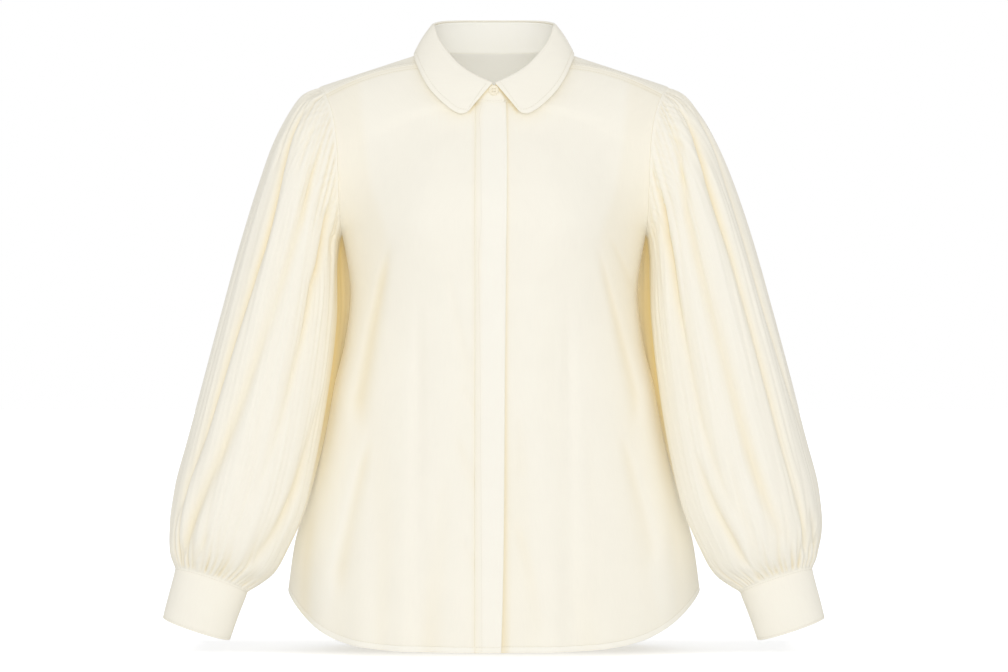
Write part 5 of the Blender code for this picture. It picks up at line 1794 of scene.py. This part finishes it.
class MakeStage(bpy.types.Operator):
    """Lay the floor, hang the soft lights and set the camera"""

    bl_idname = "blouse.make_stage"
    bl_label = "Stage"

    def execute(self, context):
        self.make_floor()
        self.make_world(context.scene)
        self.make_softbox()
        self.make_camera(context.scene)
        context.scene.view_settings.view_transform = "Standard"
        return {"FINISHED"}

    def make_floor(self):
        mesh = bpy.data.meshes.new("studio_floor")
        ends = ((-1, -1), (1, -1), (1, 1), (-1, 1))
        corners = [(FLOOR_REACH * x, FLOOR_REACH * y, FLOOR_HEIGHT) for x, y in ends]
        mesh.from_pydata(corners, [], [(0, 1, 2, 3)])
        mesh.materials.append(floor_material())
        floor = bpy.data.objects.new("studio_floor", mesh)
        bpy.context.collection.objects.link(floor)
        floor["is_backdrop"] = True

    def make_world(self, scene):
        """White surroundings: full white where seen. Where they only light, they are dimmer
        from above and behind, but for a soft light from straight behind."""
        world = bpy.data.worlds.new("white studio")
        world.use_nodes = True
        tree = world.node_tree
        link = tree.links.new
        seen = tree.nodes["Background"]
        lighting = node(tree, "ShaderNodeBackground")
        set_inputs(seen, {"Strength": 1.0, "Color": (1.0, 1.0, 1.0, 1.0)})
        set_inputs(lighting, {"Color": (1.0, 1.0, 1.0, 1.0)})
        place = node(tree, "ShaderNodeTexCoord").outputs["Generated"]
        rise = computed(tree, VECTOR_MATH, "DOT_PRODUCT", place, SKY_WAY)
        level = ranged(tree, rise, (-0.9, 1.0), SKY_STRENGTH, "dimmer from behind and above")
        behind = computed(tree, VECTOR_MATH, "DOT_PRODUCT", place, (0.0, 1.0, 0.0))
        glow = ranged(tree, behind, (0.76, 0.9), (0.0, BACK_GLOW), "soft light for the back",
                      interpolation_type="SMOOTHSTEP")
        link(computed(tree, MATH, "ADD", level, glow), lighting.inputs["Strength"])
        path, mix = node(tree, "ShaderNodeLightPath"), node(tree, "ShaderNodeMixShader")
        link(path.outputs["Is Camera Ray"], mix.inputs[0])
        link(lighting.outputs[0], mix.inputs[1])
        link(seen.outputs[0], mix.inputs[2])
        link(mix.outputs[0], tree.nodes["World Output"].inputs["Surface"])
        scene.world = world

    def make_softbox(self):
        """A wide lamp in front, turned to face its target."""
        light = bpy.data.lights.new("front_softbox", "AREA")
        light.shape, light.size, light.size_y = "RECTANGLE", SOFTBOX_WIDTH, SOFTBOX_WIDTH * 0.7
        light.energy = SOFTBOX_POWER
        lamp = bpy.data.objects.new("front_softbox", light)
        away = np.array(SOFTBOX_PLACE) - np.array(SOFTBOX_TARGET)
        pitch = math.atan2(math.hypot(away[0], away[1]), away[2])
        lamp.rotation_euler = (pitch, 0.0, math.atan2(away[0], -away[1]))
        lamp.location = SOFTBOX_PLACE
        bpy.context.collection.objects.link(lamp)

    def make_camera(self, scene):
        lens = bpy.data.cameras.new("camera")
        lens.lens, lens.sensor_width, lens.sensor_fit = CAMERA_LENS, 36.0, "HORIZONTAL"
        camera = bpy.data.objects.new("camera", lens)
        camera.location = CAMERA_PLACE
        camera.rotation_euler = (math.pi / 2, 0.0, 0.0)
        bpy.context.collection.objects.link(camera)
        scene.camera = camera


# ---------------------------------------------------------------- add-on


OPERATORS = (MakePlacket, MakeFronts, MakeBack, MakeYoke, MakeSleeves, MakeCuffs, MakeCollar,
             MakeButtons, MakeStage)


class BlousePanel(bpy.types.Panel):
    """Lists the blouse's settings and pieces"""

    bl_idname = "VIEW3D_PT_blouse"
    bl_label = "Blouse"
    bl_space_type = "VIEW_3D"
    bl_region_type = "UI"
    bl_category = "Blouse"

    def draw(self, context):
        layout = self.layout
        for name in BlouseSettings.__annotations__:
            layout.prop(context.scene.blouse, name)
        for operator in OPERATORS:
            layout.operator(operator.bl_idname)


CLASSES = (BlouseSettings, *OPERATORS, BlousePanel)


def register():
    for cls in CLASSES:
        bpy.utils.register_class(cls)
    bpy.types.Scene.blouse = bpy.props.PointerProperty(type=BlouseSettings)


def unregister():
    del bpy.types.Scene.blouse
    for cls in reversed(CLASSES):
        bpy.utils.unregister_class(cls)


def plain(box):
    return [[float(number) for number in corner] for corner in box]


def main():
    register()
    for operator in OPERATORS:
        group, name = operator.bl_idname.split(".")
        getattr(getattr(bpy.ops, group), name)()
    {"cad": plain(cad_box), "visual": plain(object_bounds())}


if __name__ == "__main__":
    main()
